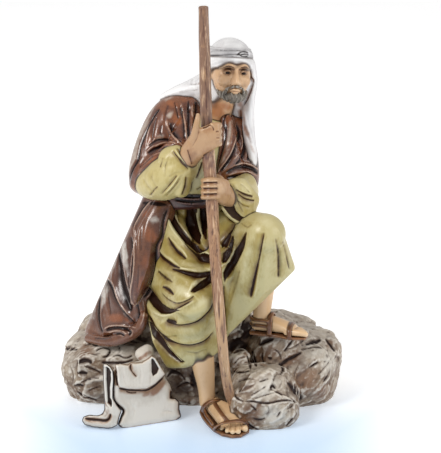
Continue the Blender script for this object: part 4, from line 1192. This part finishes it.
# the head: sockets, then the features
head_skin = surface(head(), 0.42, 5)
h = to_head(head_skin.v)
n = head_skin.normals()
dent = np.zeros(len(h))
for s in (-1, 1):
    dent += 1.8 * np.exp(-(((h[:, 0] - 5.3 * s) / 3.1) ** 2 + ((h[:, 2] + 1.3) / 2.1) ** 2)) * (h[:, 1] < -6)
    dent += 0.7 * np.exp(-(((h[:, 0] - 4.6 * s) / 1.2) ** 2 + ((h[:, 2] + 10.4) / 2.4) ** 2)) * (h[:, 1] < -6)
head_skin.v = head_skin.v - n * dent[:, None]
head_skin.relax(2)
SKINS["head"] = head_skin
beard_skin = surface(beard(), 0.36, 3)
hb = to_head(beard_skin.v)
strand = 0.85 * np.sin(np.arctan2(hb[:, 0], -hb[:, 1] + 2) * 38 + 4.0 * grain(hb, 3.2, 4)) + 0.7 * grain(hb * np.array([1, 1, 0.3]), 1.1, 7, 2)
beard_skin.v = beard_skin.v + beard_skin.normals() * (0.3 * strand)[:, None]
beard_skin.marks["tone"] = np.clip(0.5 - 0.75 * strand + 0.06 * np.clip(-12 - hb[:, 2], -2, 4), 0, 1)
beard_skin.marks["warm"] = 0.8 * np.clip((hb[:, 2] + 14.2) / 2.0, 0, 1)
SKINS["beard"] = beard_skin
SKINS["brows"] = surface(brows(), 0.3, 2)
SKINS["eyelids"] = surface(lids(), 0.28, 2)
SKINS["eyelids"].mark("haze", 0.75 * np.ones(len(SKINS["eyelids"].v)))
SKINS["eyes"] = surface(eyes(), 0.3, 2)

# the boulders: broken facets along the bedding, then pits and cracks
rock_skin = surface(rocks(), 0.92, 3)
v, n = rock_skin.v, rock_skin.normals()
left = np.clip((-20 - v[:, 0]) / 14, 0, 1)
lean = np.array([0.74, 0.12, 0.66]) * (1 - left)[:, None] + np.array([0.96, 0.2, 0.2]) * left[:, None]
lean /= np.linalg.norm(lean, axis=1)[:, None]
bed = v - lean * ((v * lean).sum(1) * (1 - 1 / 2.6))[:, None]          # stretched along the bedding
wobble = v + 2.2 * grain(v, 9, 2, 2)[:, None]
broad, tone = chips(wobble, 15.0, 11, (1, 0.2, 0.75), 1.5)
small, tone_small = chips(bed + 1.0 * grain(v, 4, 3, 2)[:, None], 4.2, 17)
strata = grain(bed, 3.4, 23, 3, ridged=True)
swell = grain(bed, 9.0, 29, 2)
rock_skin.v = v + n * (1.5 * broad + 0.9 * swell + 0.45 * small + 0.28 * strata - 0.4)[:, None]
rock_skin.relax(2)
fibre = v - lean * ((v * lean).sum(1) * (1 - 1 / 4.5))[:, None] + 0.8 * grain(v, 6, 37, 2)[:, None]
fine = grain(fibre, 2.4, 41, 2)
rock_skin.v = rock_skin.v + rock_skin.normals() * (0.16 * grain(rock_skin.v, 1.6, 5, 2) - 0.3 * fine)[:, None]
rock_skin.marks["late"] = np.clip(1.7 * fine - 0.25, 0, 1) * 0.8
rock_skin.marks["pale"] = np.clip(-1.6 * fine - 0.35, 0, 1) * 0.7
rock_skin.marks["tone"] = np.clip(0.25 * tone + 0.35 * tone_small + 0.25 * (0.5 - 0.5 * swell) + 0.25 * (0.5 - 0.5 * strata), 0, 1)
press(rock_skin, [(points, 0.9 * depth, 0.8 * dark, side) for points, depth, dark, side in STONES], wear=0.35)
rock_skin.v[:, 2] = np.maximum(rock_skin.v[:, 2], 0.0)
# no stone comes through the back of the cloak
shroud = BVHTree.FromPolygons(cloak_skin.v.tolist(), cloak_skin.quads.tolist())
for i in np.where((rock_skin.v[:, 2] > 49) & (rock_skin.v[:, 1] > 0) & (rock_skin.v[:, 0] < 20))[0]:
    at, normal, _, away = shroud.find_nearest(rock_skin.v[i], 9.0)
    if at is not None and (Vector(rock_skin.v[i]) - at).dot(normal) > -1.0:
        rock_skin.v[i] = np.array(at - normal * 1.4)
SKINS["boulders"] = rock_skin

# paint laid by hand: warm glazes, pale sheens, dirt
daub(coat_skin, "warm", [(178, 119, 8, 6, 60, 1.0), (172, 104, 7, 4, 20, 0.8), (150, 140, 10, 4, -65, 0.6), (143, 165, 10, 4, -40, 0.5), (152, 160, 8, 3, -35, 0.7), (240, 172, 10, 2.5, 0, 0.6),
                         (231, 120, 5, 3, 70, 0.4), (184, 100, 5, 4, 20, 0.5), (254, 190, 10, 2, 85, 0.5), (136, 184, 8, 3, -60, 0.5)])
daub(coat_skin, "pale", [(170, 115, 5, 3, -50, 0.85), (160, 138, 5, 3, -40, 0.9), (229.5, 135, 18, 3.2, -82, 0.75), (224, 158, 9, 2.4, -60, 0.6), (192.3, 111, 5, 1.5, 90, 0.8), (168, 99, 6, 2, -20, 0.5),
                         (246, 175, 7, 1.8, 0, 0.4), (145, 128, 14, 2.2, -62, 0.55), (141, 150, 10, 2.2, -70, 0.4), (254, 172, 5, 2, 30, 0.5)])
outer = np.clip(inside(seen(coat_skin.v), [(158, 100), (152, 113), (145, 128), (139, 144), (136.6, 158), (131.5, 167), (128, 178), (120, 178), (120, 100)]) / 1.5 + 0.5, 0, 1)
coat_skin.mark("pale", outer * np.clip(0.6 - 1.8 * coat_skin.normals()[:, 1] + 0.9 * grain(coat_skin.v, 6, 3), 0, 1) * 0.7)
daub(cloak_skin, "pale", [(130, 212, 14, 5, -62, 1.0), (121, 236, 20, 4, -68, 1.0), (124, 252, 22, 3.4, 84, 1.0), (112, 262, 20, 4, -72, 1.0), (104, 295, 22, 4, -72, 0.8), (126.5, 284, 22, 2.0, 78, 0.8),
                          (92, 318, 16, 3, -68, 0.5), (104, 318, 12, 2, 90, 0.3), (155, 220, 7, 5, 20, 0.55), (153, 245, 10, 2, 70, 0.3), (148, 200, 3, 2, 0, 0.3), (113, 288, 8, 2, 75, 0.6)])
daub(cloak_skin, "warm", [(150, 235, 12, 7, 50, 1.0), (146, 214, 6, 4, 0, 0.8), (146, 262, 14, 5, 90, 0.7), (140, 285, 14, 4, -70, 0.8), (116, 318, 9, 5, 0, 1.0), (140.5, 310, 10, 2.6, 90, 0.9), (96, 335, 12, 2.4, 10, 0.5),
                          (121, 330, 10, 4, 0, 0.5), (129, 320, 6, 4, 40, 0.8)])
daub(cloak_skin, "wash", [(158, 204, 11, 2.6, 5, 1.0), (145, 203, 4, 2, 0, 0.8)])
daub(sleeve_skin, "pale", [(246, 190, 14, 6, 70, 0.9), (238, 200, 12, 4, 70, 0.6), (165, 170, 16, 8, 60, 0.35), (152, 180, 8, 8, 0, 0.4)])
daub(bag_skin, "warm", [(141, 358, 5, 2.2, -30, 1.0), (150, 352.5, 3, 3, -60, 0.6), (135, 372, 6, 3, 40, 0.4), (157, 389, 11, 4.2, -44, 1.3), (148, 393.5, 7, 3.0, -25, 0.9), (130, 392.5, 12, 2.6, 2, 0.45), (131, 369, 3, 3.5, 0, 0.7), (155, 370, 4, 6, 70, 0.8), (145, 355.5, 7, 2.6, -38, 0.9),
                        (178, 411, 8, 2, 80, 0.3), (117, 413, 8, 2.4, 90, 0.35), (170, 390, 6, 2, 80, 0.35)])
daub(strap_skin, "warm", [(107, 404, 5, 3, 60, 0.8), (97, 420, 12, 3.2, 5, 0.45), (108, 412, 6, 2.4, 90, 0.5)])
daub(head_skin, "haze", [(207, 112, 14, 5, 88, 1.0), (213, 104, 8, 5, 40, 0.7), (222, 118, 6, 2, -40, 0.5)])
daub(head_skin, "warm", [(217, 110, 12, 9, 80, 1.0), (225, 106, 8, 5, 20, 0.9), (231, 108, 4, 4, 0, 0.5), (219.5, 85, 5, 6, 0, 0.3), (247, 86, 3, 6, 10, 0.5), (214, 103, 4, 5, 0, 0.6)])
hh = to_head(head_skin.v)
front = hh[:, 1] < -8
for x, z, a, b, amount in ((-5.2, -1.0, 2.9, 1.8, 1.1), (5.2, -1.0, 2.9, 1.8, 1.1), (-5.2, 0.9, 2.8, 0.7, 0.45), (5.2, 0.9, 2.8, 0.7, 0.45), (-6.5, -9.5, 2.0, 2.4, 0.35), (6.5, -9.5, 2.0, 2.4, 0.35), (-1.9, -5.0, 0.6, 2.4, 0.35), (1.9, -5.0, 0.6, 2.4, 0.35), (0, -9.4, 2.2, 0.5, 0.8), (-4.9, -4.0, 2.8, 0.7, 0.35), (4.9, -4.0, 2.8, 0.7, 0.35), (-2.0, -0.4, 0.8, 1.8, 0.5), (2.0, -0.4, 0.8, 1.8, 0.5),
                           (-3.2, -8.6, 0.8, 1.0, 0.5), (3.2, -8.6, 0.8, 1.0, 0.5), (-4.8, -10.6, 0.7, 2.2, 0.4), (4.8, -10.6, 0.7, 2.2, 0.4), (0, -13.1, 3.4, 0.35, 1.0), (0, -15.2, 2.6, 0.6, 0.35),
                           (-9.6, -5, 1.6, 6, 0.35), (9.6, -5, 1.6, 6, 0.35), (0, 4.6, 9, 1.0, 0.4)):
    head_skin.mark("haze", amount * front * np.exp(-(((hh[:, 0] - x) / a) ** 2 + ((hh[:, 2] - z) / b) ** 2)))
stubble = np.clip((-11.0 - hh[:, 2]) / 4, 0, 1) * np.clip((7.0 - np.abs(hh[:, 0])) / 2, 0, 1) * (hh[:, 2] > -19.5)
head_skin.mark("haze", 0.45 * front * stubble * np.clip(0.6 + grain(hh, 1.2, 3), 0, 1))
daub(scarf_skin, "late", [(240, 104, 7, 4, 70, 0.8), (241.5, 116, 9, 3.4, 72, 1.0), (246, 131, 10, 3, 66, 0.85), (252, 148, 10, 2.2, 66, 0.6), (252.5, 79, 5, 2.2, 60, 0.75), (249.5, 94, 9, 2.4, -70, 0.7), (199, 84, 3, 2, 0, 0.6)])
daub(tunic_skin, "warm", [(171, 277, 9, 4, 40, 0.5), (160, 285, 8, 4, 60, 0.3), (196, 233, 10, 6, 70, 0.45), (212, 305, 10, 3, -60, 0.45), (254, 285, 16, 3, -80, 0.5), (221, 330, 12, 4, 90, 0.3), (196, 207, 10, 4, 0, 0.6)])
daub(tunic_skin, "haze", [(195, 216, 12, 12, 0, 0.45), (200, 240, 8, 5, 0, 0.4), (158, 300, 10, 4, 50, 0.5), (228, 262, 10, 5, -60, 0.35), (150, 340, 12, 4, 60, 0.3)])
daub(tunic_skin, "pale", [(200, 168, 16, 10, 80, 1.1), (196, 184, 8, 6, 0, 0.8), (224, 146, 16, 3, -80, 0.6), (178, 234, 12, 3, 52, 0.7), (182, 291, 12, 6, 20, 0.8), (196, 266, 14, 3.6, 8, 0.6), (201, 303, 12, 4, -35, 0.7), (186, 330, 16, 4, 5, 0.5), (205, 268, 8, 3, -10, 0.5), (266, 222, 12, 6, 30, 0.6),
                          (246, 262, 24, 4, -72, 0.5), (289, 268, 14, 2, 70, 0.5), (268, 262, 20, 4, -80, 0.35), (192, 352, 14, 3, 0, 0.4), (223, 216, 5, 5, 0, 0.5)])
daub(rock_skin, "warm", [(86, 352, 8, 12, 20, 1.0), (250, 414, 16, 12, -30, 0.9), (247, 388, 10, 7, -20, 0.7), (265, 355, 16, 14, 0, 0.8), (304, 380, 18, 12, -45, 1.0), (322, 392, 13, 9, -45, 0.9), (330, 344, 8, 6, 50, 0.7),
                         (88, 385, 12, 8, 0, 0.5), (190, 402, 16, 5, 0, 1.0), (240, 345, 14, 18, 0, 1.0), (290, 360, 14, 7, -30, 0.9)])
daub(rock_skin, "haze", [(183, 383, 18, 16, 0, 0.8), (95, 385, 16, 14, 0, 0.55), (80, 366, 14, 12, 0, 0.5), (300, 365, 12, 16, -40, 0.5), (322, 395, 14, 10, -40, 0.45), (250, 412, 12, 12, 0, 0.55), (265, 352, 12, 10, 0, 0.6),
                         (100, 398, 20, 6, 10, 0.6), (245, 388, 10, 8, 0, 0.5), (312, 408, 20, 6, -20, 0.7), (330, 372, 5, 12, 0, 0.4)])
daub(rock_skin, "wash", [(175, 372, 10, 5, 20, 0.7), (195, 378, 6, 12, 0, 0.7), (238, 345, 13, 14, 0, 0.75), (185, 404, 18, 5, 0, 0.6), (292, 389, 10, 8, 40, 0.6), (247, 330, 12, 12, 0, 0.9), (222, 362, 8, 14, 10, 0.8), (212, 380, 12, 14, 20, 0.6)])
daub(rock_skin, "pale", [(115, 350, 22, 8, 0, 0.9), (72, 365, 6, 14, 10, 0.5), (268, 388, 18, 12, -30, 0.8), (275, 415, 20, 12, 0, 0.75), (330, 362, 10, 12, -30, 0.9), (318, 352, 16, 5, -20, 0.7), (315, 392, 14, 8, -45, 0.4), (73, 343, 8, 5, 0, 0.6)])
daub(hand_skin, "warm", [(193, 156, 8, 4, -60, 0.6), (222, 198, 6, 4, 60, 0.3), (210, 142, 9, 4, -30, 0.4), (199, 130, 10, 3, 75, 0.5)])
daub(hand_skin, "pale", [(203, 138, 9, 4, -55, 0.35), (214, 128, 5, 3, 30, 0.35), (212, 185, 8, 9, 0, 0.9), (222, 188, 6, 6, 0, 0.9)])

turned = facing(scarf_skin, 1.6)
front = np.clip(0.4 - scarf_skin.normals()[:, 1], 0, 1)
scarf_skin.mark("haze", 0.6 * front * np.clip(0.9 - 2.4 * turned, 0, 1))
scarf_skin.mark("glaze", front * np.clip(1.25 - 1.3 * turned, 0, 1))
daub(scarf_skin, "glaze", [(230, 61, 22, 2.2, 0, 0.9), (220, 66, 9, 4, -14, 0.7), (245, 66, 6, 3, 20, 0.7), (254, 116, 26, 2.4, 82, 0.5), (183, 95, 16, 3, -8, 1.0), (198, 80, 7, 7, 0, 0.6), (220, 45, 8, 6, -50, 0.6), (247, 47, 6, 7, 50, 0.7),
                           (256, 146, 9, 2, 70, 0.5), (189, 84, 8, 5, -50, 0.6)])
daub(bag_skin, "haze", [(160, 386.5, 9, 2.6, -48, 0.9)])
# the bag's dark outline: paint left in the angle behind its edges
for skin in (bag_skin, strap_skin):
    turned = facing(skin, 1.6)
    behind = skin.v[:, 1] - bag_face(seen(skin.v)[:, 0])
    skin.mark("wash", np.clip(1.15 - 2.6 * turned, 0, 1) * np.clip(1.0 - (behind - 1.6) / 1.2, 0, 1))
    skin.mark("warm", 0.45 * np.clip(1.15 - 2.6 * turned, 0, 1))

for key, skin in SKINS.items():
    skin.v[:, 2] = np.maximum(skin.v[:, 2], 0.0)
    fine = key in ("hands", "feet", "head", "beard", "sandals", "brows", "eyelids", "eyes", "head_band")
    read_relief(skin, 4, 30, 0.05 if fine else 0.16 if key == "boulders" else 0.10, 0.32 if fine else 0.85 if key == "boulders" else 0.6)
    for mark in MARKS:
        skin.mark(mark, np.zeros(len(skin.v)))
seams({k: s for k, s in SKINS.items() if k not in ("brows", "eyelids", "eyes", "beard")})

find_shown(SKINS)

# ---------------------------------------------------------------- materials
TUNIC_PAINT = cloth_paint("tunic_paint", (186, 174, 124), (156, 137, 72), (100, 72, 28), (36, 15, 9), (214, 206, 168), (0.3, 0.44), 0.2)
SLEEVE_PAINT = cloth_paint("sleeve_paint", (188, 173, 118), (164, 145, 80), (112, 84, 34), (46, 22, 14), (216, 206, 160), (0.3, 0.44), 0.2)
COAT_PAINT = cloth_paint("coat_paint", (124, 74, 44), (90, 48, 31), (56, 27, 19), (26, 10, 10), (194, 162, 140), (0.16, 0.32), 0.5, warm=(152, 88, 46), pale=(186, 172, 158))
CLOAK_PAINT = cloth_paint("cloak_paint", (112, 70, 47), (84, 48, 33), (54, 28, 20), (26, 12, 10), (196, 168, 148), (0.18, 0.34), 0.45, warm=(134, 76, 42), pale=(198, 192, 184))
SASH_PAINT = cloth_paint("sash_paint", (84, 46, 38), (52, 26, 26), (30, 14, 16), (14, 6, 9), (130, 96, 84), (0.25, 0.4), 0.4)
SCARF_PAINT = cloth_paint("head_cloth_paint", (236, 235, 235), (208, 206, 207), (150, 142, 138), (88, 64, 52), (244, 244, 244), (0.34, 0.46), 0.15, warm=(146, 100, 76), late=(150, 104, 78))
BAND_PAINT = cloth_paint("band_paint", (198, 196, 197), (168, 166, 167), (106, 102, 102), (52, 47, 46), (216, 214, 214), (0.34, 0.46), 0.15)
BAG_PAINT = cloth_paint("bag_paint", (212, 204, 192), (196, 186, 172), (138, 98, 64), (40, 22, 16), (230, 226, 218), (0.34, 0.48), 0.12, warm=(126, 74, 34))
SKIN_PAINT = cloth_paint("skin_paint", (176, 139, 102), (156, 114, 78), (116, 76, 46), (60, 32, 22), (208, 176, 140), (0.3, 0.42), 0.2, bump=0.02)
FOOT_PAINT = cloth_paint("foot_paint", (214, 178, 136), (192, 152, 108), (138, 98, 62), (62, 34, 24), (228, 198, 158), (0.3, 0.42), 0.2, bump=0.02)
FACE_PAINT = cloth_paint("face_paint", (202, 164, 126), (182, 140, 100), (118, 78, 50), (48, 28, 22), (220, 188, 150), (0.3, 0.42), 0.2, bump=0.02, warm=(168, 106, 62))
SANDAL_PAINT = cloth_paint("sandal_paint", (96, 57, 30), (70, 40, 22), (44, 23, 14), (22, 10, 8), (154, 108, 68), (0.25, 0.4), 0.35)
BEARD_PAINT = cloth_paint("beard_paint", (112, 104, 93), (32, 28, 26), (24, 20, 19), (14, 12, 12), (168, 162, 152), (0.45, 0.6), 0.08, tone=1.0, warm=(104, 76, 48))
BROW_PAINT = cloth_paint("brow_paint", (92, 64, 42), (72, 48, 32), (54, 34, 24), (36, 22, 16), (124, 94, 66), (0.4, 0.55), 0.1)
STONE_PAINT = cloth_paint("stone_paint", (166, 150, 130), (112, 88, 66), (66, 44, 31), (32, 18, 14), (212, 204, 192), (0.4, 0.58), 0.15, warm=(122, 86, 58), pale=(204, 197, 185), tone=1.0, bump=0.25, rocky=True, late=(72, 50, 36))

eye = Paint("eye_paint", (176, 150, 122), 0.4, 0.1)
eye.coat(eye.ramp(eye.attribute("iris"), 0.25, 0.55), (26, 12, 8), 1.0)
eye.coat(eye.ramp(eye.math("ADD", eye.attribute("lid"), eye.math("MULTIPLY", eye.noise(1.2, 2), 0.1)), 0.35, 0.6), (150, 104, 68), 1.0)
eye.coat(eye.ramp(eye.attribute("lash"), 0.3, 0.7), (40, 24, 18), 0.9)
eye.shader.inputs["Specular IOR Level"].default_value = 0.2
EYE_PAINT = eye.finish(0.01, 1.0, (0.35, 0.45))
he = to_head(SKINS["eyes"].v)
iris = np.zeros(len(he))
for s in (-1, 1):
    iris = np.maximum(iris, 1.6 - np.hypot(he[:, 0] - 5.3 * s, he[:, 2] + 1.6) / 1.15)
SKINS["eyes"].marks["iris"] = np.clip(iris, 0, 1) * (he[:, 1] < -12.5)
SKINS["eyes"].marks["lid"] = np.clip((he[:, 2] + 1.5 - 0.75) / 0.3, 0, 1)
SKINS["eyes"].marks["lash"] = np.exp(-(((he[:, 2] + 1.5 - 0.7) / 0.36) ** 2))

for name, paint in (("tunic", TUNIC_PAINT), ("cloak", CLOAK_PAINT), ("coat", COAT_PAINT), ("sleeves", SLEEVE_PAINT), ("sash", SASH_PAINT), ("head_cloth", SCARF_PAINT),
                    ("head_band", BAND_PAINT), ("bag", BAG_PAINT), ("bag_strap", BAG_PAINT), ("hands", SKIN_PAINT), ("feet", FOOT_PAINT), ("sandals", SANDAL_PAINT), ("head", FACE_PAINT),
                    ("beard", BEARD_PAINT), ("brows", BROW_PAINT), ("eyelids", FACE_PAINT), ("eyes", EYE_PAINT), ("boulders", STONE_PAINT)):
    made = solid(name, SKINS[name])
    made.data.materials.append(paint)
    print("piece", name, 2 * len(SKINS[name].quads), round(float(SKINS[name].shown.mean()), 2), sum(len(face.vertices) - 2 for face in made.data.polygons))

# ---------------------------------------------------------------- the staff
RING, STEPS = 36, 420
shell, shell_faces = tube(STAFF_AXIS, STAFF_R, ring=RING, steps=STEPS, dome=0.35)
angle = np.tile(np.arange(RING) * 2 * math.pi / RING, len(shell) // RING)
along = np.repeat(np.arange(len(shell) // RING) / (len(shell) // RING) * 275, RING)
wood = np.stack([np.cos(angle) * 3.6, np.sin(angle) * 3.6, along * 0.09], 1)
ridge = grain(wood, 1.1, 31, 3)
lump = grain(np.stack([np.cos(angle), np.sin(angle), along / 14], 1), 0.8, 12, 2)
centre = np.repeat(shell.reshape(-1, RING, 3).mean(1), RING, axis=0)
out_dir = shell - centre
out_dir /= np.maximum(np.linalg.norm(out_dir, axis=1), 1e-6)[:, None]
shell = shell + out_dir * (0.26 * ridge + 0.14 * lump - 0.1)[:, None]
mesh = bpy.data.meshes.new("walking_staff")
mesh.from_pydata(((shell - MIDDLE) * 0.001).tolist(), [], shell_faces)
mesh.shade_smooth()
mesh.attributes.new("grain", "FLOAT", "POINT").data.foreach_set("value", ridge.astype(np.float32))
mesh.attributes.new("along", "FLOAT", "POINT").data.foreach_set("value", (along / 275).astype(np.float32))
staff_obj = bpy.data.objects.new("walking_staff", mesh)
bpy.context.scene.collection.objects.link(staff_obj)
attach(staff_obj, "root")
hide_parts("staff")
p = Paint("staff_paint", (184, 146, 106), 0.4, 0.2)
p.coat(p.ramp(p.noise(16, 3, stretch=(1, 1, 0.4), seed=2), 0.44, 0.6), (128, 88, 68), 0.7)
p.coat(p.ramp(p.noise(7, 3, stretch=(1, 1, 0.25), seed=6), 0.52, 0.66), (178, 136, 98), 0.6)
p.coat(p.math("MULTIPLY", p.ramp(p.attribute("along"), 0.74, 0.84), p.ramp(p.noise(10, 3, seed=8), 0.25, 0.5)), (108, 76, 62), 0.85)
held = p.math("MULTIPLY", p.ramp(p.attribute("along"), 0.64, 0.70), p.ramp(p.attribute("along"), 0.86, 0.76))
p.coat(p.math("MULTIPLY", held, p.ramp(p.noise(8, 3, seed=3), 0.3, 0.6)), (84, 52, 52), 0.8)
p.coat(p.ramp(p.math("ADD", p.attribute("grain"), p.math("MULTIPLY", p.math("SUBTRACT", p.noise(1.0, 3, stretch=(1, 1, 0.06)), 0.5), 3.4)), 0.1, 0.8), (212, 180, 148), 0.75)
p.coat(p.ramp(p.math("ADD", p.math("MULTIPLY", p.attribute("grain"), -1.0), p.math("MULTIPLY", p.math("SUBTRACT", p.noise(1.2, 3, stretch=(1, 1, 0.06), seed=4), 0.5), 3.4)), 0.15, 0.8), (74, 42, 34), 0.85)
staff_obj.data.materials.append(p.finish(0.14, 0.9, (0.3, 0.5)))

# ---------------------------------------------------------------- stage, light, view
TO_M = 0.001


def to_frame(p):
    return Vector(((p[0] - MIDDLE[0]) * TO_M, (p[1] - MIDDLE[1]) * TO_M, p[2] * TO_M))


floor = bpy.data.meshes.new("floor")
floor.from_pydata([(-6, -4, 0), (6, -4, 0), (6, 8, 0), (-6, 8, 0)], [], [(0, 1, 2, 3)])
floor_obj = bpy.data.objects.new("floor", floor)
bpy.context.scene.collection.objects.link(floor_obj)
m = bpy.data.materials.new("floor_paint")
m.use_nodes = True
t = m.node_tree
b = t.nodes["Principled BSDF"]
b.inputs["Roughness"].default_value = 0.35
b.inputs["Emission Strength"].default_value = 0.36
coord = t.nodes.new("ShaderNodeTexCoord")
sep = t.nodes.new("ShaderNodeSeparateXYZ")
t.links.new(coord.outputs["Object"], sep.inputs[0])
rng = t.nodes.new("ShaderNodeMapRange")
rng.interpolation_type = "SMOOTHSTEP"
rng.inputs["From Min"].default_value, rng.inputs["From Max"].default_value = -0.10, 0.06
side = t.nodes.new("ShaderNodeMapRange")
side.interpolation_type = "SMOOTHSTEP"
side.inputs["From Min"].default_value, side.inputs["From Max"].default_value = 0.06, 0.17
span = t.nodes.new("ShaderNodeMath")
span.operation = "ABSOLUTE"
t.links.new(sep.outputs["X"], span.inputs[0])
t.links.new(span.outputs[0], side.inputs["Value"])
both = t.nodes.new("ShaderNodeMath")
both.operation = "MAXIMUM"
t.links.new(sep.outputs["Y"], rng.inputs["Value"])
t.links.new(rng.outputs[0], both.inputs[0])
t.links.new(side.outputs[0], both.inputs[1])
mix = t.nodes.new("ShaderNodeMix")
mix.data_type = "RGBA"
mix.inputs["A"].default_value = (*srgb(188, 210, 234), 1)
mix.inputs["B"].default_value = (1, 1, 1, 1)
t.links.new(both.outputs[0], mix.inputs["Factor"])
t.links.new(mix.outputs["Result"], b.inputs["Base Color"])
t.links.new(mix.outputs["Result"], b.inputs["Emission Color"])
floor_obj.data.materials.append(m)

world = bpy.data.worlds.new("tent")
bpy.context.scene.world = world
world.use_nodes = True
world.node_tree.nodes["Background"].inputs["Color"].default_value = (1, 1, 1, 1)
world.node_tree.nodes["Background"].inputs["Strength"].default_value = 0.62


def lamp(name, place, aim, size, power, colour=(1, 1, 1)):
    data = bpy.data.lights.new(name, "AREA")
    data.energy, data.size, data.color = power, size, colour
    obj = bpy.data.objects.new(name, data)
    bpy.context.scene.collection.objects.link(obj)
    obj.location = place
    obj.rotation_mode = "QUATERNION"
    obj.rotation_quaternion = (Vector(aim) - Vector(place)).to_track_quat("-Z", "Y")


lamp("key", (-0.75, -0.75, 0.95), (0, 0, 0.12), 0.45, 9.0, (1.0, 0.982, 0.95))
lamp("fill", (0.95, -0.5, 0.55), (0, 0, 0.12), 0.6, 3.6, (1.0, 0.985, 0.955))

data = bpy.data.cameras.new("camera")
camera = bpy.data.objects.new("camera", data)
bpy.context.scene.collection.objects.link(camera)
data.sensor_fit = "VERTICAL"
data.sensor_height = 24.0
data.lens = 24.0 * FOCAL / FRAME_H
data.clip_start, data.clip_end = 0.05, 30
camera.location = to_frame(EYE)
camera.rotation_mode = "QUATERNION"
camera.rotation_quaternion = Vector(AHEAD).to_track_quat("-Z", "Y")
bpy.context.scene.camera = camera
bpy.context.scene.view_settings.view_transform = "Standard"
